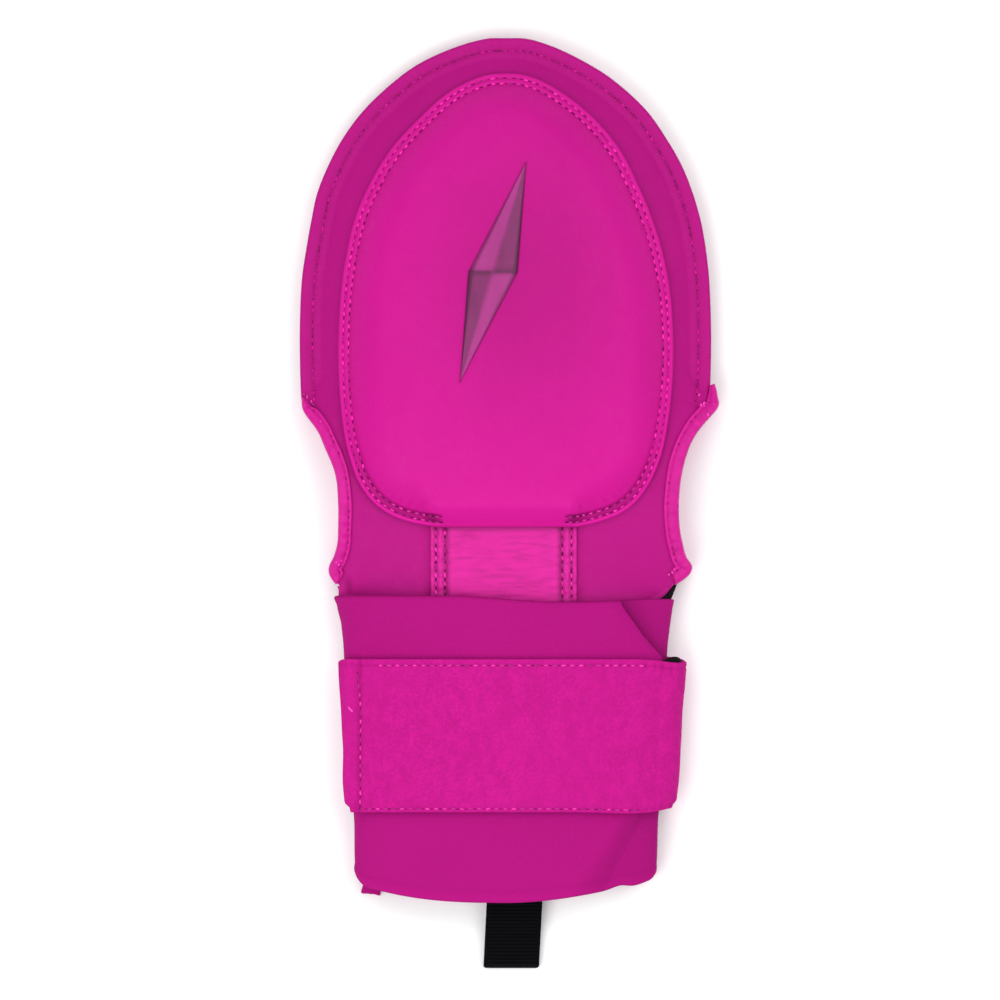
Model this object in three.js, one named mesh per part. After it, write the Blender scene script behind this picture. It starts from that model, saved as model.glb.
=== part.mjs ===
import * as THREE from 'three';

// A sliding mitt lying palm down, in millimetres. +Y points to the fingertips, +Z up
// out of the padded guard, and the flat of the palm rests on the floor.

// Leading sizes of the hand pocket
const HAND_LENGTH = 201.4;
const HAND_HALF_WIDTH = 70.9;
const HAND_MIDDLE_X = -1.4;
const FINGERTIP_Y = 160.4;
const HAND_WALL = 2.2;
const RIM_LIFT = 6.5;
const RIM_WIDTH = 7;
const WRIST_RIM_WIDTH = 2;
const POCKET_RISE = 11;
const WRIST_RISE = 7;
const POCKET_RUN = 38;
const PALM_RUN = 19;
const WRIST_PALM_LIFT = 3.8;
const WRIST_LIFT_START = 11;
const WRIST_LIFT_RUN = 10;
const SEAM_STOP = 10;
const DOME_START_Y = -30;
const DOME_START_RUN = 50;
const POCKET_LINE_TOP = 0.68;
const PIECE_GAP = 0.3;

// Leading sizes of the guard and its badge
const GUARD_LENGTH = 156.6;
const GUARD_HALF_WIDTH = 57.1;
const GUARD_MIDDLE_X = -1.6;
const GUARD_TOP_Y = 148.3;
const GUARD_SEAT_GAP = 0.5;
const GUARD_RIM_THICKNESS = 1.6;
const GUARD_RIM_WIDTH = 4;
const GUARD_LIP_THICKNESS = 3.4;
const GUARD_SHOULDER_RISE = 4.2;
const GUARD_SHOULDER_RUN = 11;
const GUARD_DOME_RISE = 3.4;
const GUARD_DOME_RUN = 48;
const GUARD_LINE_BOTTOM = 0.32;
const GUARD_LINE_TOP = 0.66;
const LIP_SIDE_RUN = 8;
const LIP_START = 6;
const LIP_RUN = 10;
const BADGE_LENGTH = 76;
const BADGE_WIDTH = 17;
const BADGE_X = -5.7;
const BADGE_Y = 79.7;
const BADGE_LEAN = 0.3;
const BADGE_EDGE = 0.6;
const BADGE_RIDGE = 1.5;

// Leading sizes of the tongue, the bindings and the cuff
const TONGUE_HALF_WIDTH = 25.3;
const TONGUE_MIDDLE_X = -2.0;
const TONGUE_THICKNESS = 2.0;
const TONGUE_FLANK_THICKNESS = 1.5;
const TONGUE_TUCK = 6;
const TONGUE_ROOM_SIDE = 5;
const TONGUE_ROOM_END = 3;
const TONGUE_ROOM_RUN = 7.5;
const TONGUE_FLANK = 0.72;
const TONGUE_CUFF_TUCK = 7.2;
const TAPE_THICKNESS = 0.9;
const TAPE_LEG = 3.9;
const TAPE_GAP = 0.5;
const TAPE_ROUND = 0.4;
const TAPE_LOWER_STOP = 0.15;
const TAPE_UPPER_STOP = 0.35;
const CUTOUT_LIFT = 1.4;
const CUTOUT_LIFT_RUN = 10;
const CUFF_TOP_Y = -32.8;
const CUFF_BOTTOM_Y = -138;
const CUFF_BOW_LEFT = 7.4;
const CUFF_BOW_RIGHT = 8.6;
const CUFF_WALL = 2.0;
const CUFF_MIDDLE_X = -1.8;
const CUFF_HALF_WIDTH = 58.0;
const CUFF_HEIGHT = 24.4;
const CUFF_SIDE_HEIGHT = 10.5;
const CUFF_FLOOR_SHARE = 0.3;
const FLAP_WALL = 2.0;
const FLAP_GAP = 0.5;
const FLAP_START_TURN = 1.1;
const LINING_WALL = 1.0;

// Leading sizes of the strap, the pull tab and the seam tail
const STRAP_TOP_Y = -53.8;
const STRAP_WIDTH = 53.4;
const STRAP_WALL = 1.6;
const BACKING_WALL = 0.8;
const STRAP_BEND_BULGE = 4.0;
const STRAP_BEND_ANGLE = 0.1;
const STRAP_BEND_SPREAD = 0.42;
const STRAP_FLAP_RUN = 0.6;
const STRAP_SEWN_TURN = -0.78;
const STRAP_END_TURN = 0.955;
const BACKING_INSET = 0.012;
const BACKING_SIDE_INSET = 0.7;
const STRAP_BACK_SHIFT = 2.8;
const TAB_WIDTH = 19.2;
const TAB_WALL = 1.4;
const TAB_MIDDLE_X = 1.7;
const TAB_LEAN = 0.05;
const TAB_END_Y = -160.4;
const TAB_SEWN_Y = -124;
const TAB_DROP_RUN = 11;
const TAIL_LENGTH = 6.6;
const TAIL_WIDTH = 5;
const TAIL_WALL = 0.9;
const TAIL_MIDDLE_X = -47.6;
const TAIL_SLANT = 0.9;

// Outline of the mitt in three runs from the tucked wrist end to the fingertips.
// up is a share of HAND_LENGTH, left and right are shares of HAND_HALF_WIDTH.
const WRIST_RUN = [
  { up: 0.000, left: 0.694, right: 0.716 },
  { up: 0.044, left: 0.695, right: 0.717 },
  { up: 0.050, left: 0.770, right: 0.760 },
  { up: 0.058, left: 0.812, right: 0.800 },
  { up: 0.070, left: 0.834, right: 0.858 },
  { up: 0.080, left: 0.855, right: 0.886 },
  { up: 0.090, left: 0.858, right: 0.896 },
];
const CUTOUT_RUN = [
  { up: 0.090, left: 0.858, right: 0.896 },
  { up: 0.109, left: 0.834, right: 0.879 },
  { up: 0.133, left: 0.819, right: 0.864 },
  { up: 0.157, left: 0.815, right: 0.850 },
  { up: 0.205, left: 0.815, right: 0.845 },
  { up: 0.253, left: 0.829, right: 0.859 },
  { up: 0.301, left: 0.883, right: 0.898 },
  { up: 0.325, left: 0.912, right: 0.936 },
  { up: 0.352, left: 0.972, right: 1.000 },
  { up: 0.373, left: 0.996, right: 1.042 },
];
const HAND_RUN = [
  { up: 0.373, left: 0.985, right: 1.000 },
  { up: 0.445, left: 1.000, right: 1.000 },
  { up: 0.517, left: 1.000, right: 1.000 },
  { up: 0.589, left: 0.990, right: 0.991 },
  { up: 0.637, left: 0.970, right: 0.976 },
  { up: 0.685, left: 0.946, right: 0.952 },
  { up: 0.733, left: 0.917, right: 0.913 },
  { up: 0.781, left: 0.863, right: 0.859 },
  { up: 0.829, left: 0.790, right: 0.781 },
  { up: 0.877, left: 0.688, right: 0.684 },
  { up: 0.931, left: 0.523, right: 0.514 },
  { up: 0.959, left: 0.406, right: 0.387 },
  { up: 0.986, left: 0.231, right: 0.227 },
  { up: 0.999, left: 0.090, right: 0.100 },
  { up: 1.000, left: -0.005, right: 0.005 },
];

// Outline of the guard from its lower lip to its top.
// up is a share of GUARD_LENGTH, left and right are shares of GUARD_HALF_WIDTH.
const GUARD_LIP_RUN = [
  { up: 0.000, left: 0.000, right: 0.000 },
  { up: 0.000, left: 0.411, right: 0.423 },
];
const GUARD_RUN = [
  { up: 0.000, left: 0.411, right: 0.423 },
  { up: 0.011, left: 0.574, right: 0.550 },
  { up: 0.030, left: 0.700, right: 0.665 },
  { up: 0.059, left: 0.800, right: 0.765 },
  { up: 0.104, left: 0.882, right: 0.858 },
  { up: 0.148, left: 0.924, right: 0.918 },
  { up: 0.192, left: 0.955, right: 0.949 },
  { up: 0.280, left: 0.985, right: 0.985 },
  { up: 0.390, left: 0.997, right: 1.000 },
  { up: 0.522, left: 0.979, right: 0.979 },
  { up: 0.610, left: 0.943, right: 0.931 },
  { up: 0.676, left: 0.900, right: 0.876 },
  { up: 0.742, left: 0.828, right: 0.804 },
  { up: 0.830, left: 0.689, right: 0.683 },
  { up: 0.901, left: 0.514, right: 0.526 },
  { up: 0.954, left: 0.356, right: 0.350 },
  { up: 0.985, left: 0.205, right: 0.205 },
  { up: 0.998, left: 0.090, right: 0.090 },
  { up: 1.000, left: 0.000, right: 0.000 },
];

// Inward steps of the panel rings, in millimetres from the edge toward the middle line
const HAND_RINGS = [0, 7, 14, 21, 30, 41];
const GUARD_RINGS = [0, 4, 8, 13, 20, 28, 37];

// The cuff along its length. down is a share of the cuff's length from its upper mouth,
// half a share of CUFF_HALF_WIDTH, lean of CUFF_HALF_WIDTH, floor in millimetres and
// high a share of CUFF_HEIGHT.
const CUFF_RUN = [
  { down: 0.000, half: 1.000, lean: 0.000, floor: 0.0, high: 1.00 },
  { down: 0.080, half: 0.972, lean: 0.002, floor: 0.0, high: 1.00 },
  { down: 0.145, half: 0.958, lean: 0.002, floor: 3.0, high: 0.99 },
  { down: 0.320, half: 0.945, lean: 0.006, floor: 3.0, high: 0.96 },
  { down: 0.550, half: 0.925, lean: 0.008, floor: 3.0, high: 0.95 },
  { down: 0.740, half: 0.905, lean: 0.010, floor: 3.0, high: 0.94 },
  { down: 0.830, half: 0.900, lean: 0.010, floor: 0.0, high: 0.93 },
  { down: 0.920, half: 0.895, lean: 0.008, floor: 0.0, high: 0.90 },
  { down: 1.000, half: 0.870, lean: 0.000, floor: 0.0, high: 0.86 },
];

// The flap's bowed right edge. down as above, reach is a share of CUFF_HALF_WIDTH.
const FLAP_EDGE = [
  { down: 0.00, reach: 0.640 },
  { down: 0.10, reach: 0.760 },
  { down: 0.20, reach: 0.880 },
  { down: 0.35, reach: 0.925 },
  { down: 0.55, reach: 0.910 },
  { down: 0.72, reach: 0.830 },
  { down: 0.86, reach: 0.700 },
  { down: 1.00, reach: 0.540 },
];

// Shape of the cuff's section: how square its underside and its top are
const UNDERSIDE_SQUARENESS = 4;
const TOPSIDE_SQUARENESS = 2.3;

// Looks
const LEATHER = { color: 0xb61d80, roughness: 0.62 };
const GUARD_LEATHER = { color: 0xd02095, roughness: 0.55 };
const TONGUE_LEATHER = { color: 0xdc2e9f, roughness: 0.6 };
const BINDING_TAPE = { color: 0xcf2592, roughness: 0.6 };
const NEOPRENE = { color: 0xb61c80, roughness: 0.85 };
const LOOP_FABRIC = { color: 0xd02193, roughness: 0.9 };
const BLACK_FABRIC = { color: 0x17121a, roughness: 0.9 };
const BLACK_WEBBING = { color: 0x0b0b0d, roughness: 0.75 };
const BADGE_PRINT = { color: 0x9c2f78, roughness: 0.4 };

const clamp = (value, low, high) => Math.min(high, Math.max(low, value));

// Rises from 0 to 1 with a crease at the start and a level end
function puff(share) {
  const rest = 1 - clamp(share, 0, 1);
  return 1 - rest * rest;
}

// Rises from 0 to 1 with a level start and a level end
function ease(share) {
  const t = clamp(share, 0, 1);
  return t * t * (3 - 2 * t);
}

// Reads a column of a table smoothly between its rows
function readColumn(table, key, at, name) {
  let row = 0;
  while (row < table.length - 2 && at > table[row + 1][key]) row += 1;
  const from = table[row];
  const to = table[row + 1];
  const t = clamp((at - from[key]) / (to[key] - from[key]), 0, 1);
  return THREE.MathUtils.lerp(from[name], to[name], t);
}

// Evenly spaced left and right edge points along a run of an outline table
function spacedLevels(run, count, frame) {
  const points = run.map((row) => new THREE.Vector3(
    row.left * frame.half, row.right * frame.half, row.up * frame.length));
  const curve = points.length > 2
    ? new THREE.CatmullRomCurve3(points, false, 'centripetal')
    : new THREE.LineCurve3(points[0], points[1]);
  curve.arcLengthDivisions = 800;
  return curve.getSpacedPoints(count).map((p) => {
    const y = frame.low + p.z;
    return {
      y,
      left: new THREE.Vector2(frame.middle - p.x, y),
      right: new THREE.Vector2(frame.middle + p.y, y),
    };
  });
}

// Moves every edge point inward, square to the edge
function insetLevels(levels, distance) {
  return levels.map((level, i) => {
    const before = levels[Math.max(0, i - 1)];
    const after = levels[Math.min(levels.length - 1, i + 1)];
    const left = new THREE.Vector2().subVectors(after.left, before.left).normalize();
    const right = new THREE.Vector2().subVectors(after.right, before.right).normalize();
    return {
      y: level.y,
      left: new THREE.Vector2(level.left.x + left.y * distance, level.left.y - left.x * distance),
      right: new THREE.Vector2(
        level.right.x - right.y * distance, level.right.y + right.x * distance),
    };
  });
}

const HAND_FRAME = {
  half: HAND_HALF_WIDTH,
  length: HAND_LENGTH,
  middle: HAND_MIDDLE_X,
  low: FINGERTIP_Y - HAND_LENGTH,
};
const GUARD_FRAME = {
  half: GUARD_HALF_WIDTH,
  length: GUARD_LENGTH,
  middle: GUARD_MIDDLE_X,
  low: GUARD_TOP_Y - GUARD_LENGTH,
};
const TAPE_ROOM = TAPE_THICKNESS + TAPE_GAP;

// The outline levels of the hand, the taped cutouts and the guard
const TAPE_EDGE = spacedLevels(CUTOUT_RUN, 9, HAND_FRAME);
const CUTOUT_EDGE = insetLevels(TAPE_EDGE, TAPE_ROOM);
const WRIST_EDGE = spacedLevels(WRIST_RUN, 6, HAND_FRAME);
const FINGER_EDGE = spacedLevels(HAND_RUN, 20, HAND_FRAME);
const HAND_EDGE = [
  ...WRIST_EDGE.slice(0, -1),
  ...CUTOUT_EDGE,
  ...FINGER_EDGE.slice(1),
];
const GUARD_EDGE = [
  ...spacedLevels(GUARD_LIP_RUN, 3, GUARD_FRAME).slice(0, -1),
  ...spacedLevels(GUARD_RUN, 22, GUARD_FRAME),
];

// Distance from a point to a chain of straight lines
function distanceToChain(x, y, chain) {
  let best = Infinity;
  for (let i = 0; i + 1 < chain.length; i += 1) {
    const a = chain[i];
    const b = chain[i + 1];
    const span = (b.x - a.x) ** 2 + (b.y - a.y) ** 2;
    const t = span > 0 ? clamp(((x - a.x) * (b.x - a.x) + (y - a.y) * (b.y - a.y)) / span, 0, 1) : 0;
    best = Math.min(best, Math.hypot(x - a.x - t * (b.x - a.x), y - a.y - t * (b.y - a.y)));
  }
  return best;
}

// The sewn seams: one round the fingers, which stops short of the cutouts, and one at
// each side of the wrist
const fingerLevels = FINGER_EDGE.filter((level) => level.y > CUTOUT_EDGE.at(-1).y + SEAM_STOP);
const FINGER_SEAM = [
  ...fingerLevels.map((level) => level.left),
  ...fingerLevels.map((level) => level.right).reverse(),
];
const wristLevels = WRIST_EDGE.filter((level) => level.y < CUFF_TOP_Y + 1.5);
const WRIST_SEAMS = [
  wristLevels.map((level) => level.left),
  wristLevels.map((level) => level.right),
];
const CUTOUTS = [
  CUTOUT_EDGE.map((level) => level.left),
  CUTOUT_EDGE.map((level) => level.right),
];
const GUARD_OUTLINE = [
  ...GUARD_EDGE.map((level) => level.right),
  ...GUARD_EDGE.map((level) => level.left).reverse(),
];

// How far a point lies inside the pressed rim of the nearest seam
function insideSeam(x, y) {
  const finger = Math.max(0.01, distanceToChain(x, y, FINGER_SEAM) - RIM_WIDTH);
  const wrist = WRIST_SEAMS.map(
    (seam) => Math.max(0.01, distanceToChain(x, y, seam) - WRIST_RIM_WIDTH));
  const sum = [finger, ...wrist].reduce((total, d) => total + d ** -4, 0);
  return sum ** -0.25;
}

// Underside of the palm panel: level on the floor, lifted at the seams, along the
// cutouts and where it goes into the cuff
function palmBottom(x, y) {
  const intoCuff = ease((CUFF_TOP_Y + WRIST_LIFT_START - y) / WRIST_LIFT_RUN);
  const middle = WRIST_PALM_LIFT * intoCuff;
  const rim = (RIM_LIFT - middle) * (1 - puff(insideSeam(x, y) / PALM_RUN));
  const free = Math.min(...CUTOUTS.map((edge) => distanceToChain(x, y, edge)));
  const lift = CUTOUT_LIFT * (1 - ease((free - TAPE_LEG) / CUTOUT_LIFT_RUN)) * (1 - intoCuff);
  return middle + (rim ** 4 + lift ** 4) ** 0.25;
}

const palmTop = (x, y) => palmBottom(x, y) + HAND_WALL;

// Underside of the hand panel: level with the palm panel at the seams, domed between
function handBottom(x, y) {
  const toDome = ease((y - DOME_START_Y) / DOME_START_RUN);
  const rise = THREE.MathUtils.lerp(WRIST_RISE, POCKET_RISE, toDome);
  const seam = RIM_LIFT + HAND_WALL + PIECE_GAP;
  return seam + rise * puff(insideSeam(x, y) / POCKET_RUN);
}

const handTop = (x, y) => handBottom(x, y) + HAND_WALL;

// Share of the tongue that passes under the guard's lip at a point
function overTongue(x, y) {
  const beside = Math.abs(x - TONGUE_MIDDLE_X) - TONGUE_HALF_WIDTH - TONGUE_ROOM_SIDE;
  const beyond = y - GUARD_FRAME.low - TONGUE_TUCK - TONGUE_ROOM_END;
  const across = 1 - ease(beside / TONGUE_ROOM_RUN);
  const along = 1 - ease(beyond / TONGUE_ROOM_RUN);
  return across * along;
}

function guardBottom(x, y) {
  return handTop(x, y) + GUARD_SEAT_GAP + overTongue(x, y) * (TONGUE_THICKNESS + PIECE_GAP);
}

// Top of the guard: a pressed rim, a soft shoulder and a low dome; the lip is unpressed
function guardTop(x, y) {
  const inside = distanceToChain(x, y, GUARD_OUTLINE);
  const beside = Math.abs(x - TONGUE_MIDDLE_X) - TONGUE_HALF_WIDTH + TONGUE_ROOM_END;
  const lipAcross = 1 - ease(beside / LIP_SIDE_RUN);
  const lip = lipAcross * (1 - ease((y - GUARD_FRAME.low - LIP_START) / LIP_RUN));
  const rim = THREE.MathUtils.lerp(GUARD_RIM_THICKNESS, GUARD_LIP_THICKNESS, lip);
  const start = GUARD_RIM_WIDTH * (1 - lip);
  const shoulder = GUARD_SHOULDER_RISE * puff((inside - start) / GUARD_SHOULDER_RUN);
  const dome = GUARD_DOME_RISE * puff((inside - start) / GUARD_DOME_RUN);
  return handTop(x, y) + GUARD_SEAT_GAP + rim + shoulder + dome + lip * PIECE_GAP;
}

// Joins loose triangles into one closed body: equal corners are welded and triangles
// without area are dropped
function weld(corners) {
  const index = new Map();
  const points = [];
  const faces = [];
  const numberOf = (p) => {
    const key = p.map((value) => Math.round(value * 2000)).join();
    if (!index.has(key)) {
      index.set(key, points.length / 3);
      points.push(...p);
    }
    return index.get(key);
  };
  for (let i = 0; i < corners.length; i += 3) {
    const [a, b, c] = corners.slice(i, i + 3).map(numberOf);
    if (a !== b && b !== c && c !== a) faces.push(a, b, c);
  }
  const geometry = new THREE.BufferGeometry();
  geometry.setAttribute('position', new THREE.Float32BufferAttribute(points, 3));
  geometry.setIndex(faces);
  geometry.computeVertexNormals();
  return geometry;
}

function addQuad(corners, a, b, c, d) {
  corners.push(a, b, c, a, c, d);
}

// A closed sheet between an upper and a lower grid of points, with walls on its edges.
// Rows run along, columns across. A ringed sheet meets itself at its last column, and a
// looped one at its first and last row too, so they have no walls there.
function sheetBody(upper, lower, ringed = false, looped = false) {
  const corners = [];
  const rows = upper.length - 1;
  const columns = upper[0].length - 1;
  for (let i = 0; i < rows; i += 1) {
    for (let j = 0; j < columns; j += 1) {
      addQuad(corners, upper[i][j], upper[i + 1][j], upper[i + 1][j + 1], upper[i][j + 1]);
      addQuad(corners, lower[i][j], lower[i][j + 1], lower[i + 1][j + 1], lower[i + 1][j]);
    }
    addQuad(corners, upper[i][0], lower[i][0], lower[i + 1][0], upper[i + 1][0]);
    if (!ringed) {
      addQuad(corners, upper[i][columns], upper[i + 1][columns],
        lower[i + 1][columns], lower[i][columns]);
    }
  }
  if (looped) return weld(corners);
  for (let j = 0; j < columns; j += 1) {
    addQuad(corners, upper[0][j], upper[0][j + 1], lower[0][j + 1], lower[0][j]);
    addQuad(corners, upper[rows][j], lower[rows][j], lower[rows][j + 1], upper[rows][j + 1]);
  }
  return weld(corners);
}

// The plan points of a panel: rings from the edge to a middle line, walked up the right
// side, over the top and down the left side
function ringGrid(levels, rings, middleX, lowest, highest) {
  const walk = [
    ...levels.map((level) => ({ edge: level.right, y: level.y })),
    ...levels.slice(0, -1).reverse().map((level) => ({ edge: level.left, y: level.y })),
  ];
  return walk.map(({ edge, y }) => {
    const inner = new THREE.Vector2(middleX, clamp(y, lowest, highest));
    const full = edge.distanceTo(inner);
    return [
      ...rings.map((step) => edge.clone().lerp(inner, step / full)),
      inner,
    ];
  });
}

function liftGrid(grid, height) {
  return grid.map((row) => row.map((p) => [p.x, p.y, height(p.x, p.y)]));
}

function panelBody(grid, top, bottom, looped) {
  return sheetBody(liftGrid(grid, top), liftGrid(grid, bottom), true, looped);
}

function handGrid() {
  const highest = HAND_FRAME.low + HAND_LENGTH * POCKET_LINE_TOP;
  return ringGrid(HAND_EDGE, HAND_RINGS, HAND_MIDDLE_X, HAND_FRAME.low, highest);
}

function buildHandPanel() {
  return panelBody(handGrid(), handTop, handBottom);
}

function buildPalmPanel() {
  return panelBody(handGrid(), palmTop, palmBottom);
}

function buildGuard() {
  const lowest = GUARD_FRAME.low + GUARD_LENGTH * GUARD_LINE_BOTTOM;
  const highest = GUARD_FRAME.low + GUARD_LENGTH * GUARD_LINE_TOP;
  const grid = ringGrid(GUARD_EDGE, GUARD_RINGS, GUARD_MIDDLE_X, lowest, highest);
  return panelBody(grid, guardTop, guardBottom, true);
}

// A slim faceted lozenge that leans to the right at its top
function buildBadge() {
  const rows = 8;
  const columns = 4;
  const upper = [];
  const lower = [];
  for (let i = 0; i <= rows; i += 1) {
    const along = (2 * i) / rows - 1;
    const half = (BADGE_WIDTH / 2) * Math.max(0.02, 1 - Math.abs(along));
    const upperRow = [];
    const lowerRow = [];
    for (let j = 0; j <= columns; j += 1) {
      const across = (2 * j) / columns - 1;
      const y = BADGE_Y + (BADGE_LENGTH / 2) * along;
      const x = BADGE_X + BADGE_LEAN * (BADGE_LENGTH / 2) * along - across * half;
      const seat = guardTop(x, y) + PIECE_GAP;
      const ridge = (BADGE_RIDGE - BADGE_EDGE) * (1 - Math.abs(across)) * (1 - Math.abs(along));
      upperRow.push([x, y, seat + BADGE_EDGE + ridge]);
      lowerRow.push([x, y, seat]);
    }
    upper.push(upperRow);
    lower.push(lowerRow);
  }
  return sheetBody(upper, lower);
}

// The flex strip, thinner along its two stitched flanks
function buildTongue() {
  const rows = 9;
  const across = [
    -1, -0.86, -TONGUE_FLANK, -0.45, -0.15, 0.15, 0.45, TONGUE_FLANK, 0.86, 1,
  ];
  const top = GUARD_FRAME.low + TONGUE_TUCK;
  const bottom = CUFF_TOP_Y - TONGUE_CUFF_TUCK;
  const upper = [];
  const lower = [];
  for (let i = 0; i <= rows; i += 1) {
    const y = THREE.MathUtils.lerp(bottom, top, i / rows);
    const points = across.map((share) => [TONGUE_MIDDLE_X - share * TONGUE_HALF_WIDTH, share]);
    lower.push(points.map(([x]) => [x, y, handTop(x, y) + PIECE_GAP]));
    upper.push(points.map(([x, share]) => {
      const flank = ease((Math.abs(share) - TONGUE_FLANK) / (across.at(-2) - TONGUE_FLANK));
      const thick = THREE.MathUtils.lerp(TONGUE_THICKNESS, TONGUE_FLANK_THICKNESS, flank);
      return [x, y, handTop(x, y) + PIECE_GAP + thick];
    }));
  }
  return sheetBody(upper, lower);
}

// Folded tape round a cutout: a U section with one leg on each face of the panel
function buildBinding(side, top, bottom) {
  const full = TAPE_EDGE.map((level) => level[side]);
  const edge = [
    full[0].clone().lerp(full[1], TAPE_LOWER_STOP),
    ...full.slice(1, -1),
    full.at(-1).clone().lerp(full.at(-2), TAPE_UPPER_STOP),
  ];
  const turn = side === 'right' ? 1 : -1;
  const rings = edge.map((p, i) => {
    const before = edge[Math.max(0, i - 1)];
    const after = edge[Math.min(edge.length - 1, i + 1)];
    const along = new THREE.Vector2().subVectors(after, before).normalize();
    const outward = new THREE.Vector2(along.y * turn, -along.x * turn);
    const at = (inward) => p.clone().addScaledVector(outward, -inward);
    const rim = at(TAPE_ROOM);
    const leg = at(TAPE_LEG);
    const bend = at(TAPE_ROUND);
    const crown = at(0);
    const topRim = top(rim.x, rim.y) + TAPE_GAP;
    const topLeg = top(leg.x, leg.y) + TAPE_GAP;
    const bottomRim = bottom(rim.x, rim.y) - TAPE_GAP;
    const bottomLeg = bottom(leg.x, leg.y) - TAPE_GAP;
    const inner = at(TAPE_THICKNESS);
    return [
      [leg, topLeg + TAPE_THICKNESS],
      [bend, topRim + TAPE_THICKNESS - TAPE_ROUND / 2],
      [crown, topRim - TAPE_ROUND],
      [crown, bottomRim + TAPE_ROUND],
      [bend, bottomRim - TAPE_THICKNESS + TAPE_ROUND / 2],
      [leg, bottomLeg - TAPE_THICKNESS],
      [leg, bottomLeg],
      [inner, bottomRim],
      [inner, topRim],
      [leg, topLeg],
    ].map(([q, z]) => [q.x, q.y, z]);
  });
  return loftBody(rings, turn);
}

// A closed body through equal section rings, with flat ends
function loftBody(rings, turn) {
  const corners = [];
  const count = rings[0].length;
  const flat = rings[0].map((p) => new THREE.Vector2(
    Math.hypot(p[0] - rings[0][2][0], p[1] - rings[0][2][1]), p[2]));
  const ends = THREE.ShapeUtils.triangulateShape(flat, []);
  const face = (a, b, c) => (turn > 0 ? corners.push(a, b, c) : corners.push(a, c, b));
  for (let i = 0; i + 1 < rings.length; i += 1) {
    for (let k = 0; k < count; k += 1) {
      const next = (k + 1) % count;
      face(rings[i][k], rings[i][next], rings[i + 1][next]);
      face(rings[i][k], rings[i + 1][next], rings[i + 1][k]);
    }
  }
  const last = rings.at(-1);
  ends.forEach(([a, b, c]) => {
    face(rings[0][a], rings[0][c], rings[0][b]);
    face(last[a], last[b], last[c]);
  });
  return weld(corners);
}

// The cuff's section at a height along it: middle, half width, floor and top
function cuffAt(y) {
  const down = clamp((CUFF_TOP_Y - y) / (CUFF_TOP_Y - CUFF_BOTTOM_Y), 0, 1);
  const read = (name) => readColumn(CUFF_RUN, 'down', down, name);
  return {
    middle: CUFF_MIDDLE_X + read('lean') * CUFF_HALF_WIDTH,
    half: read('half') * CUFF_HALF_WIDTH,
    floor: read('floor'),
    top: read('high') * CUFF_HEIGHT,
    reach: readColumn(FLAP_EDGE, 'down', down, 'reach'),
  };
}

const ANGLE_STEP = 0.02;

// A point of the cuff's outer skin at an angle round the section, moved out by an offset.
// The flap's own room at the left is taken off the sleeve.
function cuffPoint(y, angle, offset) {
  const cuff = cuffAt(y);
  const room = (FLAP_WALL + FLAP_GAP) / 2;
  const half = cuff.half - room;
  const middle = cuff.middle + room;
  const base = (turn) => {
    const power = 2 / (Math.sin(turn) < 0 ? UNDERSIDE_SQUARENESS : TOPSIDE_SQUARENESS);
    const c = Math.cos(turn);
    const s = Math.sin(turn);
    const centre = CUFF_SIDE_HEIGHT + cuff.floor * CUFF_FLOOR_SHARE;
    const reach = s < 0 ? centre - cuff.floor : cuff.top - centre;
    return new THREE.Vector2(
      middle + half * Math.sign(c) * Math.abs(c) ** power,
      centre + reach * Math.sign(s) * Math.abs(s) ** power);
  };
  const at = base(angle);
  const along = base(angle + ANGLE_STEP).sub(base(angle - ANGLE_STEP)).normalize();
  return [at.x + along.y * offset, at.y - along.x * offset];
}

// Share of the half width that the section reaches at an angle
function reachAcross(angle) {
  const power = 2 / (Math.sin(angle) < 0 ? UNDERSIDE_SQUARENESS : TOPSIDE_SQUARENESS);
  return Math.sign(Math.cos(angle)) * Math.abs(Math.cos(angle)) ** power;
}

// Bowed lower mouth of the cuff, rounder at the left and slanting at the right: y at a
// share across and a share down
function cuffY(across, down) {
  const bow = across < 0
    ? CUFF_BOW_LEFT * Math.abs(across) ** 3.2
    : CUFF_BOW_RIGHT * across ** 1.8;
  return THREE.MathUtils.lerp(CUFF_TOP_Y, CUFF_BOTTOM_Y + bow, down);
}

// Rows of the cuff's outer pieces; its lining takes only the rows where the run bends
const CUFF_ROWS = [0, 0.08, 0.145, 0.235, 0.32, 0.43, 0.55, 0.65, 0.74, 0.83, 0.92, 1];

// A grid of the cuff's skin at an offset, for a list of angles per row
function cuffGrid(rows, anglesAt, offset) {
  return rows.map((down) => anglesAt(down).map((angle) => {
    const y = cuffY(reachAcross(angle), down);
    const [x, z] = cuffPoint(y, angle, offset);
    return [x, y, z];
  }));
}

const AROUND = 36;

function ringAngles() {
  return Array.from({ length: AROUND + 1 }, (_, k) => (2 * Math.PI * (k % AROUND)) / AROUND);
}

// A tube made from an outer and an inner skin joined at both mouths
function tubeBody(outer, inner) {
  const corners = [];
  const last = outer.length - 1;
  for (let k = 0; k < AROUND; k += 1) {
    for (let i = 0; i < last; i += 1) {
      addQuad(corners, outer[i][k], outer[i][k + 1], outer[i + 1][k + 1], outer[i + 1][k]);
      addQuad(corners, inner[i][k], inner[i + 1][k], inner[i + 1][k + 1], inner[i][k + 1]);
    }
    addQuad(corners, outer[0][k], inner[0][k], inner[0][k + 1], outer[0][k + 1]);
    addQuad(corners, outer[last][k], outer[last][k + 1], inner[last][k + 1], inner[last][k]);
  }
  return weld(corners);
}

function buildSleeve() {
  return tubeBody(cuffGrid(CUFF_ROWS, ringAngles, 0), cuffGrid(CUFF_ROWS, ringAngles, -CUFF_WALL));
}

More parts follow.
